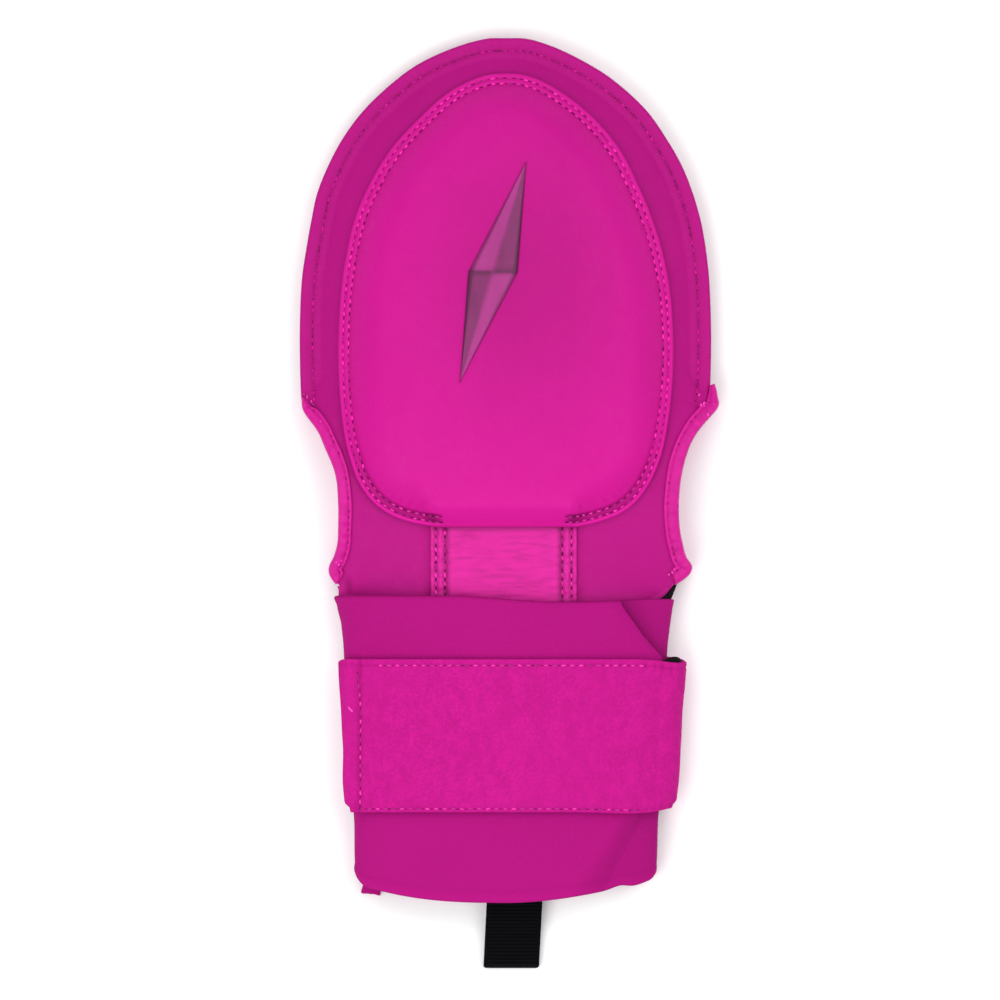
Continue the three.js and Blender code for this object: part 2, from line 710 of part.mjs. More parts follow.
function buildLining() {
  const rows = CUFF_RUN.map((row) => 0.004 + row.down * 0.992);
  const outer = -CUFF_WALL - PIECE_GAP;
  const inner = outer - LINING_WALL;
  return tubeBody(cuffGrid(rows, ringAngles, outer), cuffGrid(rows, ringAngles, inner));
}

// The flap's angles in a row: from low on the left side to the bowed right edge
function flapAngles(down) {
  const cuff = cuffAt(cuffY(0.5, down));
  const share = clamp(cuff.reach * CUFF_HALF_WIDTH / cuff.half, 0, 0.97);
  const end = Math.acos(share ** (TOPSIDE_SQUARENESS / 2));
  const start = Math.PI * FLAP_START_TURN;
  const count = 26;
  return Array.from({ length: count + 1 }, (_, k) => {
    return THREE.MathUtils.lerp(start, end, k / count);
  });
}

function buildFlap() {
  const outer = cuffGrid(CUFF_ROWS, flapAngles, FLAP_GAP + FLAP_WALL);
  const inner = cuffGrid(CUFF_ROWS, flapAngles, FLAP_GAP);
  return sheetBody(outer, inner);
}

// How far the strap's backing stands off the sleeve at an angle round the section
function strapStandOff(angle) {
  const fromBend = (angle - STRAP_BEND_ANGLE) / STRAP_BEND_SPREAD;
  const bulge = STRAP_BEND_BULGE * Math.exp(-(fromBend ** 2));
  const overFlap = (FLAP_GAP + FLAP_WALL) * ease((angle + STRAP_BEND_ANGLE) / STRAP_FLAP_RUN);
  return PIECE_GAP + Math.max(bulge, overFlap, 0);
}

// A band round the cuff between two offsets from the sleeve
function bandBody(inside, thickness, trim, sideInset) {
  const count = 44;
  const angles = Array.from({ length: count + 1 }, (_, k) => {
    const share = trim + (1 - 2 * trim) * (k / count);
    return Math.PI * THREE.MathUtils.lerp(STRAP_SEWN_TURN, STRAP_END_TURN, share);
  });
  const across = [0, 0.25, 0.5, 0.75, 1];
  const grid = (extra) => angles.map((angle) => across.map((share) => {
    const back = STRAP_BACK_SHIFT * (1 - ease(angle + 0.5));
    const inset = sideInset * (1 - 2 * share);
    const y = STRAP_TOP_Y - STRAP_WIDTH * share + back - inset;
    const [x, z] = cuffPoint(y - back, angle, strapStandOff(angle) + inside + extra);
    return [x, y, z];
  }));
  return sheetBody(grid(thickness), grid(0));
}

function buildStrap() {
  return bandBody(BACKING_WALL + PIECE_GAP, STRAP_WALL, 0, 0);
}

function buildBacking() {
  return bandBody(0, BACKING_WALL, BACKING_INSET, BACKING_SIDE_INSET);
}

// Folded webbing: lower layer out of the cuff, round the fold and back as upper layer
function buildPullTab() {
  const layer = TAB_WALL + PIECE_GAP;
  const foldRadius = layer / 2;
  const inCuff = CUFF_WALL + PIECE_GAP + LINING_WALL + PIECE_GAP + TAB_WALL / 2;
  const lie = [
    { y: TAB_SEWN_Y, z: inCuff },
    { y: CUFF_BOTTOM_Y + TAB_DROP_RUN * 0.55, z: inCuff },
    { y: CUFF_BOTTOM_Y - TAB_DROP_RUN * 0.09, z: inCuff },
    { y: CUFF_BOTTOM_Y - TAB_DROP_RUN * 0.55, z: inCuff * 0.72 + TAB_WALL * 0.14 },
    { y: CUFF_BOTTOM_Y - TAB_DROP_RUN, z: TAB_WALL * 0.86 },
    { y: TAB_END_Y + TAB_WALL / 2 + foldRadius, z: TAB_WALL / 2 },
  ];
  const fold = [-60, -30, 0, 30, 60].map((degrees) => {
    const turn = THREE.MathUtils.degToRad(degrees);
    const end = lie.at(-1);
    return {
      y: end.y - foldRadius * Math.cos(turn),
      z: end.z + foldRadius + foldRadius * Math.sin(turn),
    };
  });
  const path = [...lie, ...fold, ...lie.map((p) => ({ y: p.y, z: p.z + layer })).reverse()];
  const side = (sign) => path.map((p, i) => {
    const before = path[Math.max(0, i - 1)];
    const after = path[Math.min(path.length - 1, i + 1)];
    const along = new THREE.Vector2(after.y - before.y, after.z - before.z).normalize();
    const y = p.y + along.y * sign * (TAB_WALL / 2);
    const z = p.z - along.x * sign * (TAB_WALL / 2);
    return [-0.5, 0, 0.5].map((share) => {
      const lean = (y - CUFF_BOTTOM_Y) * TAB_LEAN;
      return [TAB_MIDDLE_X + lean + share * TAB_WIDTH, y, z];
    });
  });
  return sheetBody(side(1), side(-1));
}

// Height of the sleeve's underside at a plan point
function sleeveUnderside(x, y) {
  const share = clamp(Math.abs(x - CUFF_MIDDLE_X) / cuffAt(y).half, 0, 0.98);
  return cuffPoint(y, Math.PI + Math.acos(share ** (UNDERSIDE_SQUARENESS / 2)), 0)[1];
}

// The small loose end of fabric that hangs from below the cuff's lower left corner
function buildSeamTail() {
  const top = CUFF_BOTTOM_Y + CUFF_BOW_LEFT;
  const upper = [];
  const lower = [];
  [0, 0.45, 1].forEach((down) => {
    const points = [0.5, 0.17, -0.17, -0.5].map((share) => {
      const x = TAIL_MIDDLE_X - share * TAIL_LENGTH;
      const y = top - down * TAIL_WIDTH + share * TAIL_SLANT;
      const hung = sleeveUnderside(x, top) - 2 * PIECE_GAP - TAIL_WALL;
      return [x, y, hung * (1 - 0.8 * ease((down - 0.3) / 0.7))];
    });
    lower.push(points);
    upper.push(points.map(([x, y, z]) => [x, y, z + TAIL_WALL]));
  });
  return sheetBody(upper, lower);
}

const mitt = new THREE.Group();
mitt.name = 'sliding_mitt';

function addPiece(name, geometry, look) {
  const material = new THREE.MeshStandardMaterial({ ...look, metalness: 0 });
  const mesh = new THREE.Mesh(geometry, material);
  mesh.name = name;
  mitt.add(mesh);
}

addPiece('hand_panel', buildHandPanel(), LEATHER);
addPiece('palm_panel', buildPalmPanel(), LEATHER);
addPiece('hand_guard', buildGuard(), GUARD_LEATHER);
addPiece('guard_badge', buildBadge(), BADGE_PRINT);
addPiece('tongue', buildTongue(), TONGUE_LEATHER);
for (const side of ['left', 'right']) {
  addPiece(`hand_binding_${side}`, buildBinding(side, handTop, handBottom), BINDING_TAPE);
  addPiece(`palm_binding_${side}`, buildBinding(side, palmTop, palmBottom), BINDING_TAPE);
}
addPiece('cuff_sleeve', buildSleeve(), NEOPRENE);
addPiece('cuff_flap', buildFlap(), NEOPRENE);
addPiece('cuff_lining', buildLining(), BLACK_FABRIC);
addPiece('wrist_strap', buildStrap(), LOOP_FABRIC);
addPiece('strap_backing', buildBacking(), BLACK_FABRIC);
addPiece('pull_tab', buildPullTab(), BLACK_WEBBING);
addPiece('seam_tail', buildSeamTail(), NEOPRENE);

// Stands the mitt on the floor, centred under its bounding box
const box = new THREE.Box3().setFromObject(mitt);
const centre = box.getCenter(new THREE.Vector3());
mitt.position.set(-centre.x, -centre.y, -box.min.z);
mitt.updateMatrixWorld(true);

export default mitt;
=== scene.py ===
"""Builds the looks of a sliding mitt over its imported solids: leather panels, padded guard,
taped cutouts, knit cuff, wrist strap, webbing tab and all of the stitching.

Shapes are worked out in millimetres in the mitt's own plan, and placed in metres.
"""

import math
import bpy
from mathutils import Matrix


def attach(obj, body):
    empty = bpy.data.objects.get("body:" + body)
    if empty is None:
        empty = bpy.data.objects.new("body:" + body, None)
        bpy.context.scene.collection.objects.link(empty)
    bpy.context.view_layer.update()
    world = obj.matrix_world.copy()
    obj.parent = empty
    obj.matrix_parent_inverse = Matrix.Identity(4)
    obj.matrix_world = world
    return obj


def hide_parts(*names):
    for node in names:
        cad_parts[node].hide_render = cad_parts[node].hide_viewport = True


bl_info = {
    "name": "Sliding Mitt",
    "version": (1, 0, 0),
    "blender": (4, 5, 0),
    "location": "3D View > Sidebar > Mitt",
    "description": "Leather, knit, tape, strap and stitching of a padded sliding mitt",
    "category": "Add Mesh",
}

import bpy
import bmesh
import numpy as np
from bpy.props import FloatProperty, FloatVectorProperty, PointerProperty
from mathutils.bvhtree import BVHTree

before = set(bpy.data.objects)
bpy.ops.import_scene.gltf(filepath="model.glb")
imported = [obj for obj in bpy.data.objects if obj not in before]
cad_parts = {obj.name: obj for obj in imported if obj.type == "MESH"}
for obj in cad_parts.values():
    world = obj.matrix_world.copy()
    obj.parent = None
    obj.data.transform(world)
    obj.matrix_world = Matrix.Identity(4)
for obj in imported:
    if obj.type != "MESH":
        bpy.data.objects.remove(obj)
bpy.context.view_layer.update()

# Plan sizes in millimetres, the same as or close to those of the solids
METRES = 0.001
PLAN_SHIFT = 0.505
HAND = {"half": 70.9, "length": 201.4, "middle": -1.4, "low": -41.0}
GUARD = {"half": 58.0, "length": 156.6, "middle": -1.35, "low": -8.3}
HAND_WALL, PIECE_GAP = 2.2, 0.3
RIM_LIFT, RIM_WIDTH, WRIST_RIM = 6.5, 7.0, 2.0
POCKET_RISE, WRIST_RISE, POCKET_RUN, PALM_RUN = 11.0, 7.0, 38.0, 19.0
POCKET_START, POCKET_WIDEN = -30, 50
INTO_CUFF_START, INTO_CUFF_RUN, INTO_CUFF_RISE, CUTOUT_LIFT = 11, 10, 3.8, 1.4
GUARD_SEAT, GUARD_RIM, GUARD_RIM_WIDTH, GUARD_LIP_WALL = 0.5, 1.6, 4, 3.4
SHOULDER_RISE, SHOULDER_RUN, DOME_RISE, DOME_RUN = 4.2, 11, 3.4, 48
TONGUE_MIDDLE, TONGUE_HALF, TONGUE_TUCK = -2.0, 25.3, 6
TONGUE_WALL, TONGUE_FLANK_WALL, TONGUE_UNDER_CUFF = 2.0, 1.5, 7.2
CUFF_TOP, CUFF_BOTTOM, CUFF_WALL = -32.8, -138.0, 2.0
CUFF_MIDDLE, CUFF_HALF, CUFF_HEIGHT, CUFF_SIDE = -1.8, 58.0, 24.4, 10.5
FLAP_WALL, FLAP_GAP, LINING_WALL = 2.0, 0.5, 1.0
TAPE, TAPE_LEG, TAPE_GAP = 0.9, 3.9, 0.5
STRAP_TOP, STRAP_WIDTH, STRAP_WALL, BACKING_WALL = -53.8, 53.4, 1.6, 0.8
TAB_WIDTH, TAB_WALL, TAB_MIDDLE, TAB_END, TAB_START = 19.2, 1.4, 1.7, -160.4, -124

# Roundness of the cuff's section under and over its widest line
FLAT_POWER, ROUND_POWER = 4.0, 2.3
# Shares of the length between which the rings of a panel close on its middle line
HAND_SPINE, GUARD_SPINE = (0.0, 0.68), (0.32, 0.66)
# The strap's first and last angle, run for each radian, face over its inside, end seam
STRAP_LOW, STRAP_HIGH, STRAP_RUN = -0.78 * math.pi, 0.955 * math.pi, 50
STRAP_FACE, STRAP_FOLD_X = BACKING_WALL + PIECE_GAP, -52.0
# Seams of the tongue's flanks as shares of its half width
INNER_SEAM, SEAM_RIDGE, OUTER_SEAM = 0.80, 0.865, 0.925
# The plain badge: middle, half length, lean for each unit of length, half width, heights
BADGE_X, BADGE_Y, BADGE_LONG, BADGE_LEAN, BADGE_HALF = -5.7, 79.7, 38, 0.3, 8.5
BADGE_SEAT, BADGE_EDGE, BADGE_RIDGE = 0.3, 0.6, 0.9
# The loose seam end under the cuff's lower left corner
TAIL_X, TAIL_WIDTH, TAIL_LENGTH, TAIL_ABOVE_HEM, TAIL_WALL = -47.6, 6.6, 4.3, 7.4, 0.8
# The cloth that pushes the guard's cover out, and how wide its push is blurred
CLOTH_FRAMES, CLOTH_PRESSURE, CLOTH_STIFFNESS, CLOTH_SPREAD = 20, 4, 8, 3.2
# Usual radius of the painted shade in the needle holes, and the shares at which the end seam
# starts and ends
HOLE_SHADE_SIZE, END_SEAM = 0.34, (0.09, 0.96)
# Stitch rows along the strap: distance inside its edges, plan distance of their starts
UPPER_ROW, UPPER_ROW_X, LOWER_ROW, LOWER_ROW_X = 2.3, -46.0, 1.2, -52.0
# The loose thread end beside the end seam: shares down, plan distances
THREAD_END, THREAD_END_X = (0.303, 0.352), (-55.5, -53.5)

# Columns of the outline rows that the function spaced gives: height, left and right
LEFT, RIGHT = 1, 2
SIDES = {LEFT: "left", RIGHT: "right"}

# Outline rows: share up the length, share of the half width at the left and the right
WRIST_RUN = [
    (0.0000, 0.694, 0.716), (0.0300, 0.700, 0.722), (0.0350, 0.722, 0.735),
    (0.0378, 0.782, 0.756), (0.0410, 0.804, 0.766), (0.0470, 0.812, 0.790),
    (0.0546, 0.812, 0.808), (0.0620, 0.820, 0.812),
]
CUTOUT_RUN = [
    (0.062, 0.822, 0.822), (0.071, 0.842, 0.864), (0.083, 0.860, 0.900), (0.095, 0.860, 0.911),
    (0.110, 0.838, 0.882), (0.133, 0.819, 0.864), (0.157, 0.815, 0.850), (0.205, 0.815, 0.845),
    (0.253, 0.829, 0.859), (0.301, 0.883, 0.898), (0.325, 0.912, 0.936), (0.352, 0.968, 1.000),
    (0.364, 0.988, 1.030), (0.373, 0.992, 1.042),
]
HAND_RUN = [
    (0.373, 0.990, 0.985), (0.385, 0.994, 0.992), (0.445, 1.000, 1.000),
    (0.517, 1.000, 1.000), (0.589, 0.990, 0.991),
    (0.637, 0.970, 0.976), (0.685, 0.946, 0.952), (0.733, 0.917, 0.913), (0.781, 0.863, 0.859),
    (0.829, 0.790, 0.781), (0.877, 0.688, 0.684), (0.931, 0.523, 0.514), (0.959, 0.406, 0.387),
    (0.986, 0.231, 0.227), (0.999, 0.090, 0.100), (1.000, -0.005, 0.005),
]
GUARD_LIP = [(0.0, 0.0, 0.0), (0.0, 0.411, 0.423)]
GUARD_RUN = [
    (0.000, 0.411, 0.423), (0.011, 0.574, 0.555), (0.030, 0.700, 0.685), (0.059, 0.800, 0.785),
    (0.104, 0.882, 0.868), (0.148, 0.924, 0.918), (0.192, 0.955, 0.949), (0.280, 0.985, 0.985),
    (0.390, 0.997, 1.000), (0.522, 0.979, 0.979), (0.610, 0.943, 0.931), (0.676, 0.900, 0.876),
    (0.742, 0.828, 0.804), (0.830, 0.689, 0.683), (0.901, 0.514, 0.526), (0.954, 0.356, 0.350),
    (0.985, 0.205, 0.205), (0.998, 0.090, 0.090), (1.000, 0.000, 0.000),
]
# Cuff rows: share down, half width, lean of the middle, floor, height
CUFF_RUN = np.array([
    (0.000, 1.012, 0.000, 0.0, 1.00), (0.080, 0.979, 0.009, 0.0, 1.00),
    (0.145, 0.965, 0.009, 3.0, 0.99), (0.320, 0.945, 0.006, 3.0, 0.96),
    (0.550, 0.925, 0.008, 3.0, 0.95), (0.740, 0.905, 0.010, 3.0, 0.94),
    (0.830, 0.900, 0.010, 0.0, 0.93), (0.920, 0.895, 0.008, 0.0, 0.90),
    (1.000, 0.870, 0.000, 0.0, 0.86),
])
# Flap edge rows: share down, share of the half width
FLAP_EDGE = np.array([
    (0.00, 0.665), (0.03, 0.685), (0.067, 0.722), (0.133, 0.80), (0.206, 0.905), (0.35, 0.925),
    (0.55, 0.91), (0.72, 0.83), (0.86, 0.70), (1.00, 0.54),
])
# Plan points that carry each tape on past the cutout, and how far its leg reaches in
TAPE_ENDS = {LEFT: [(-71.8, 35.4), (-71.7, 36.4)],
             RIGHT: [(71.9, 36.6), (71.5, 39.0), (70.8, 41.2)]}
TAPE_REACH = {LEFT: 4.7, RIGHT: 5.2}
# Bar tack stitches at the tape's ends: distance from the middle, height, run inward, run up
BAR_TACKS = {
    LEFT: [(69.6, 38.0, 0.3, -1.1), (68.4, 37.4, 0.0, -1.6), (69.4, 35.2, 1.0, -0.4),
           (67.0, 35.6, 0.1, -1.0), (67.0, 34.3, 1.2, -0.7), (66.8, 32.2, -0.2, -1.0),
           (63.9, 28.6, 0.3, -1.0), (58.5, -19.9, 0.3, -1.0), (57.5, -20.6, 0.1, -1.3),
           (56.7, -19.4, 0.2, -1.0), (56.5, -21.6, -0.2, -1.0)],
    RIGHT: [(67.0, 38.0, 0.3, -1.2), (68.7, 35.0, 0.5, -1.2), (67.3, 34.5, -0.3, -1.2),
            (69.2, 33.3, 1.2, 0.2), (68.8, 32.0, -1.3, -1.6), (70.1, 31.2, 0.4, -1.4),
            (67.4, 30.9, 0.2, -1.2), (58.5, -22.4, 0.5, -1.0), (57.6, -23.4, 0.1, -1.2),
            (56.8, -24.4, 0.9, -0.6)],
}
# Above these heights the tacks lie on the leather, below them on the tape
TACKS_OFF_TAPE = {LEFT: 30, RIGHT: 36}

# Distances of the rings inside a panel's edge
HAND_RINGS = np.concatenate([np.arange(0, 12, 0.55), np.arange(12, 30, 1.5), [31, 34, 37, 41]])
GUARD_RINGS = np.concatenate([np.arange(0, 8, 0.4), np.arange(8, 24, 1.0), np.arange(24, 38, 1.6)])

# Stage: width of the view, floor, camera, and lights with place, size and power
VIEW_WIDTH, FLOOR_REACH, FLOOR_DROP, WORLD_LIGHT = 0.345, 3.0, 0.0004, 0.55
CAMERA_PLACE = (-0.00277, 0.00104, 1.2)
LIGHTS = (
    ("key light", (-0.55, -0.50, 1.25), 1.2, 11.2),
    ("fill light", (0.70, 0.10, 1.20), 1.2, 7.6),
    ("top light", (-0.20, 0.80, 1.30), 1.4, 6.0),
)


# Shape arithmetic

def puff(share):
    rest = 1 - np.clip(share, 0, 1)
    return 1 - rest * rest


def ease(share):
    t = np.clip(share, 0, 1)
    return t * t * (3 - 2 * t)


def mix(a, b, share):
    return a + (b - a) * share


def bell(value, middle, spread):
    return np.exp(-(((value - middle) / spread) ** 2))


def rounded(share):
    """Drop of a quarter circle, from 1 at its edge to 0 where the share reaches 1."""
    t = 1 - np.clip(share, 0, 1)
    return 1 - np.sqrt(1 - t * t)


def roll(distance, radius):
    """How far a rounded edge drops at a distance inside it."""
    return radius * rounded(distance / radius)


def waver(seed, size, *axes):
    """A smooth unevenness of about -1 to 1 with bumps of a size."""
    rng = np.random.default_rng(seed)
    total = 0
    for _ in range(7):
        way = rng.normal(size=len(axes))
        way /= np.linalg.norm(way)
        turns = 2 * math.pi / (size * rng.uniform(0.7, 1.7))
        total = total + np.sin(sum(w * a for w, a in zip(way, axes)) * turns + rng.uniform(0, 6.3))
    return total / 4


def unit(vectors):
    return vectors / np.maximum(np.linalg.norm(vectors, axis=-1, keepdims=True), 1e-12)


def run_stations(points):
    """How far along a line each of its points is."""
    return np.concatenate([[0], np.cumsum(np.linalg.norm(np.diff(points, axis=0), axis=1))])


def sampled(values, at, stations):
    """Rows of values that belong to a run's points, read at other stations of it."""
    return np.stack([np.interp(stations, at, column) for column in values.T], -1)


def smoothed(line, rounds):
    for _ in range(rounds):
        line[1:-1] = (line[:-2] + 2 * line[1:-1] + line[2:]) / 4
    return line


def spaced(run, count, shape):
    """Evenly spaced rows (y, left x, right x) on a smooth line through an outline table."""
    p = np.array([(row[1] * shape["half"], row[2] * shape["half"], row[0] * shape["length"])
                  for row in run])
    if len(p) > 2:
        p = np.vstack([2 * p[0] - p[1], p, 2 * p[-1] - p[-2]])
        step = np.maximum(np.linalg.norm(np.diff(p, axis=0), axis=1) ** 0.5, 1e-4)[:, None]
        t = np.linspace(0, 1, 60, endpoint=False)[:, None]
        parts = []
        for i in range(1, len(p) - 2):
            a, b, c = step[i - 1], step[i], step[i + 1]
            start = ((p[i] - p[i - 1]) / a - (p[i + 1] - p[i - 1]) / (a + b)
                     + (p[i + 1] - p[i]) / b) * b
            end = ((p[i + 1] - p[i]) / b - (p[i + 2] - p[i]) / (b + c)
                   + (p[i + 2] - p[i + 1]) / c) * b
            parts.append(p[i] * (2 * t**3 - 3 * t**2 + 1) + start * (t**3 - 2 * t**2 + t)
                         + p[i + 1] * (3 * t**2 - 2 * t**3) + end * (t**3 - t**2))
        p = np.vstack([*parts, p[-2:-1]])
    at = run_stations(p)
    left, right, up = sampled(p, at, np.linspace(0, at[-1], count + 1)).T
    return np.stack([shape["low"] + up, shape["middle"] - left, shape["middle"] + right], 1)


def inset(rows, distance):
    """Rows moved inward, square to their edges."""
    moved = rows.copy()
    for k, turn in ((LEFT, -1), (RIGHT, 1)):
        x, y = np.gradient(rows[:, k]), np.gradient(rows[:, 0])
        moved[:, k] -= turn * y / np.hypot(x, y) * distance
    return moved


def side(rows, k):
    """Plan points of one side of outline rows."""
    return np.stack([rows[:, k], rows[:, 0]], 1)


def chain_distance(x, y, chain):
    """Distance from points to a chain of lines, and how far along it the nearest spot is."""
    best, at, run = np.full(np.shape(x), 1e9), np.zeros(np.shape(x)), 0.0
    for (ax, ay), (bx, by) in zip(chain[:-1], chain[1:]):
        dx, dy = bx - ax, by - ay
        span = math.hypot(dx, dy)
        if span < 1e-9:
            continue
        t = np.clip(((x - ax) * dx + (y - ay) * dy) / span**2, 0, 1)
        d = np.hypot(x - ax - t * dx, y - ay - t * dy)
        at = np.where(d < best, run + t * span, at)
        best = np.minimum(best, d)
        run += span
    return best, at


TAPE_EDGE = spaced(CUTOUT_RUN, 110, HAND)
CUTOUT_EDGE = inset(TAPE_EDGE, TAPE + TAPE_GAP)
WRIST_EDGE = spaced(WRIST_RUN, 60, HAND)
FINGER_EDGE = spaced(HAND_RUN, 190, HAND)
HAND_EDGE = np.vstack([WRIST_EDGE[:-1], CUTOUT_EDGE, FINGER_EDGE[1:]])
GUARD_EDGE = np.vstack([spaced(GUARD_LIP, 30, GUARD)[:-1], spaced(GUARD_RUN, 230, GUARD)])
seam_rows = FINGER_EDGE[FINGER_EDGE[:, 0] > CUTOUT_EDGE[-1, 0] + 10]
FINGER_SEAM = np.vstack([side(seam_rows, LEFT), side(seam_rows, RIGHT)[::-1]])
wrist_rows = WRIST_EDGE[WRIST_EDGE[:, 0] < CUFF_TOP + 1.5]
WRIST_SEAMS = [side(wrist_rows, k) for k in SIDES]
CUTOUTS = [side(CUTOUT_EDGE, k) for k in SIDES]
GUARD_LINE = np.vstack([side(GUARD_EDGE, RIGHT), side(GUARD_EDGE, LEFT)[::-1]])
RIM_LINE = np.vstack([side(FINGER_EDGE, LEFT), side(FINGER_EDGE, RIGHT)[::-1]])


# Heights over the plan

def inside_seam(x, y):
    """Distance inside the sewn edges of the pocket, rounded where two of them meet."""
    total = np.maximum(0.01, chain_distance(x, y, FINGER_SEAM[::3])[0] - RIM_WIDTH) ** -4
    for seam in WRIST_SEAMS:
        total = total + np.maximum(0.01, chain_distance(x, y, seam)[0] - WRIST_RIM) ** -4
    return total**-0.25


def palm_bottom(x, y):
    into_cuff = ease((CUFF_TOP + INTO_CUFF_START - y) / INTO_CUFF_RUN)
    middle = INTO_CUFF_RISE * into_cuff
    rim = (RIM_LIFT - middle) * (1 - puff(inside_seam(x, y) / PALM_RUN))
    free = np.minimum(*(chain_distance(x, y, edge[::3])[0] for edge in CUTOUTS))
    lift = CUTOUT_LIFT * (1 - ease((free - TAPE_LEG) / 10)) * (1 - into_cuff)
    return middle + (rim**4 + lift**4) ** 0.25


def palm_top(x, y):
    return palm_bottom(x, y) + HAND_WALL


def hand_bottom(x, y):
    rise = mix(WRIST_RISE, POCKET_RISE, ease((y - POCKET_START) / POCKET_WIDEN))
    return RIM_LIFT + HAND_WALL + PIECE_GAP + rise * puff(inside_seam(x, y) / POCKET_RUN)


def hand_top(x, y):
    return hand_bottom(x, y) + HAND_WALL


def over_tongue(x, y):
    """Share of the room that the guard leaves for the tongue under it."""
    beside = abs(x - TONGUE_MIDDLE) - TONGUE_HALF - 5
    beyond = y - GUARD["low"] - TONGUE_TUCK - 3
    return (1 - ease(beside / 7.5)) * (1 - ease(beyond / 7.5))


def guard_bottom(x, y):
    return hand_top(x, y) + GUARD_SEAT + over_tongue(x, y) * (TONGUE_WALL + PIECE_GAP)


def lip_share(x, y):
    """Share of the guard that is its thick free lip over the tongue."""
    beside = abs(x - TONGUE_MIDDLE) - TONGUE_HALF + 3
    return (1 - ease(beside / 8)) * (1 - ease((y - GUARD["low"] - TONGUE_TUCK) / 10))


def sewn_share(x, y):
    """Share of the guard's edge that is stitched: all but the free lip at the tongue."""
    beside = ease((abs(x - TONGUE_MIDDLE) - 20.5) / 2.5)
    return 1 - (1 - beside) * (1 - ease((y - GUARD["low"] - 8) / 6))


def guard_top(x, y, inside=None):
    if inside is None:
        inside = chain_distance(x, y, GUARD_LINE[::2])[0]
    lip = lip_share(x, y)
    start = GUARD_RIM_WIDTH * (1 - lip)
    rise = (SHOULDER_RISE * puff((inside - start) / SHOULDER_RUN)
            + DOME_RISE * puff((inside - start) / DOME_RUN))
    wall = mix(GUARD_RIM, GUARD_LIP_WALL, lip)
    return hand_top(x, y) + GUARD_SEAT + wall + rise + lip * PIECE_GAP


def tongue_top(x, y):
    flank = ease((abs(x - TONGUE_MIDDLE) / TONGUE_HALF - 0.72) / 0.14)
    return hand_top(x, y) + PIECE_GAP + mix(TONGUE_WALL, TONGUE_FLANK_WALL, flank)


# Skins round the cuff

def cuff_row(y):
    """Middle, half width, floor, height and share down of the cuff's section."""
    down = np.clip((CUFF_TOP - y) / (CUFF_TOP - CUFF_BOTTOM), 0, 1)
    half, lean, floor, high = (np.interp(down, CUFF_RUN[:, 0], CUFF_RUN[:, k])
                               for k in range(1, 5))
    return CUFF_MIDDLE + lean * CUFF_HALF, half * CUFF_HALF, floor, high * CUFF_HEIGHT, down


def reach_across(angle):
    """Share of the half width that the cuff's section reaches at an angle."""
    c = np.cos(angle)
    return np.sign(c) * abs(c) ** (2 / np.where(np.sin(angle) < 0, FLAT_POWER, ROUND_POWER))


def cuff_point(y, angle, offset):
    """Point of the cuff's outer skin at an angle round its section, moved out."""
    middle, half, floor, top, _ = cuff_row(y)
    room = (FLAP_WALL + FLAP_GAP) / 2
    half, middle = half - room, middle + room

    def base(turn):
        s = np.sin(turn)
        power = 2 / np.where(s < 0, FLAT_POWER, ROUND_POWER)
        centre = CUFF_SIDE + floor * 0.3
        reach = np.where(s < 0, centre - floor, top - centre)
        return middle + half * reach_across(turn), centre + reach * np.sign(s) * abs(s) ** power

    x, z = base(angle)
    ax, az = base(angle + 0.02)
    bx, bz = base(angle - 0.02)
    length = np.hypot(ax - bx, az - bz)
    return x + (az - bz) / length * offset, z - (ax - bx) / length * offset


def cuff_y(across, down):
    """Height of the cuff's skin: a leaning upper edge and a bowed, corner-rounded lower one."""
    bow = np.where(across < 0, 6.0 * abs(across) ** 2.8, 8.6 * abs(across) ** 1.8)
    bow = bow + 1.2 * bell(across, 0.77, 0.07) - 0.8 * bell(across, 0.85, 0.12)
    corner = np.clip((abs(across) - 0.94) / 0.06, 0, 1) ** 3
    bow = bow + np.where(across < 0, 4.4, 2.0) * corner
    top = 0.9 - 2.1 * ease((across + 0.35) / 0.65) + 0.9 * ease((across - 0.4) / 0.5)
    return mix(CUFF_TOP + top, CUFF_BOTTOM + bow, down)


def cuff_skin(offset):
    """The cuff's skin over (angle, share down), at an offset."""
    def skin(angle, down):
        y = cuff_y(reach_across(angle), down)
        x, z = cuff_point(y, angle, offset(angle, down) if callable(offset) else offset)
        return np.stack([x, y, z], -1)
    return skin


def mouth_roll(down, wall):
    """How far a skin draws in toward the middle of its wall at the cuff's two mouths."""
    return wall / 2 * rounded(np.minimum(down, 1 - down) / 0.006)


def cuff_relief(angle, down):
    """Slack of the knit, with its upper edge and its hem."""
    slack = 0.25 * waver(61, 30, reach_across(angle) * 55, down * 105)
    hem = 0.3 * bell(down, 0.985, 0.016) - 0.12 * bell(down, 0.962, 0.006)
    top = 0.22 * bell(down, 0.012, 0.01) - 0.15 * bell(down, 0.035, 0.008)
    return slack + hem + top


def flap_end(down):
    """Angle of the flap's bowed right edge at a share down the cuff."""
    _, half, _, _, share = cuff_row(cuff_y(0.5, down))
    reach = np.interp(share, FLAP_EDGE[:, 0], FLAP_EDGE[:, 1])
    return np.arccos(np.minimum(reach * CUFF_HALF / half, 0.97) ** 1.15)


def strap_stand_off(angle):
    """How far the strap stands off the sleeve: over the flap, and bulging at its right bend."""
    bulge, over_flap = 4.0 * bell(angle, 0.1, 0.42), 2.5 * ease((angle + 0.1) / 0.6)
    return PIECE_GAP + np.maximum(bulge, over_flap)


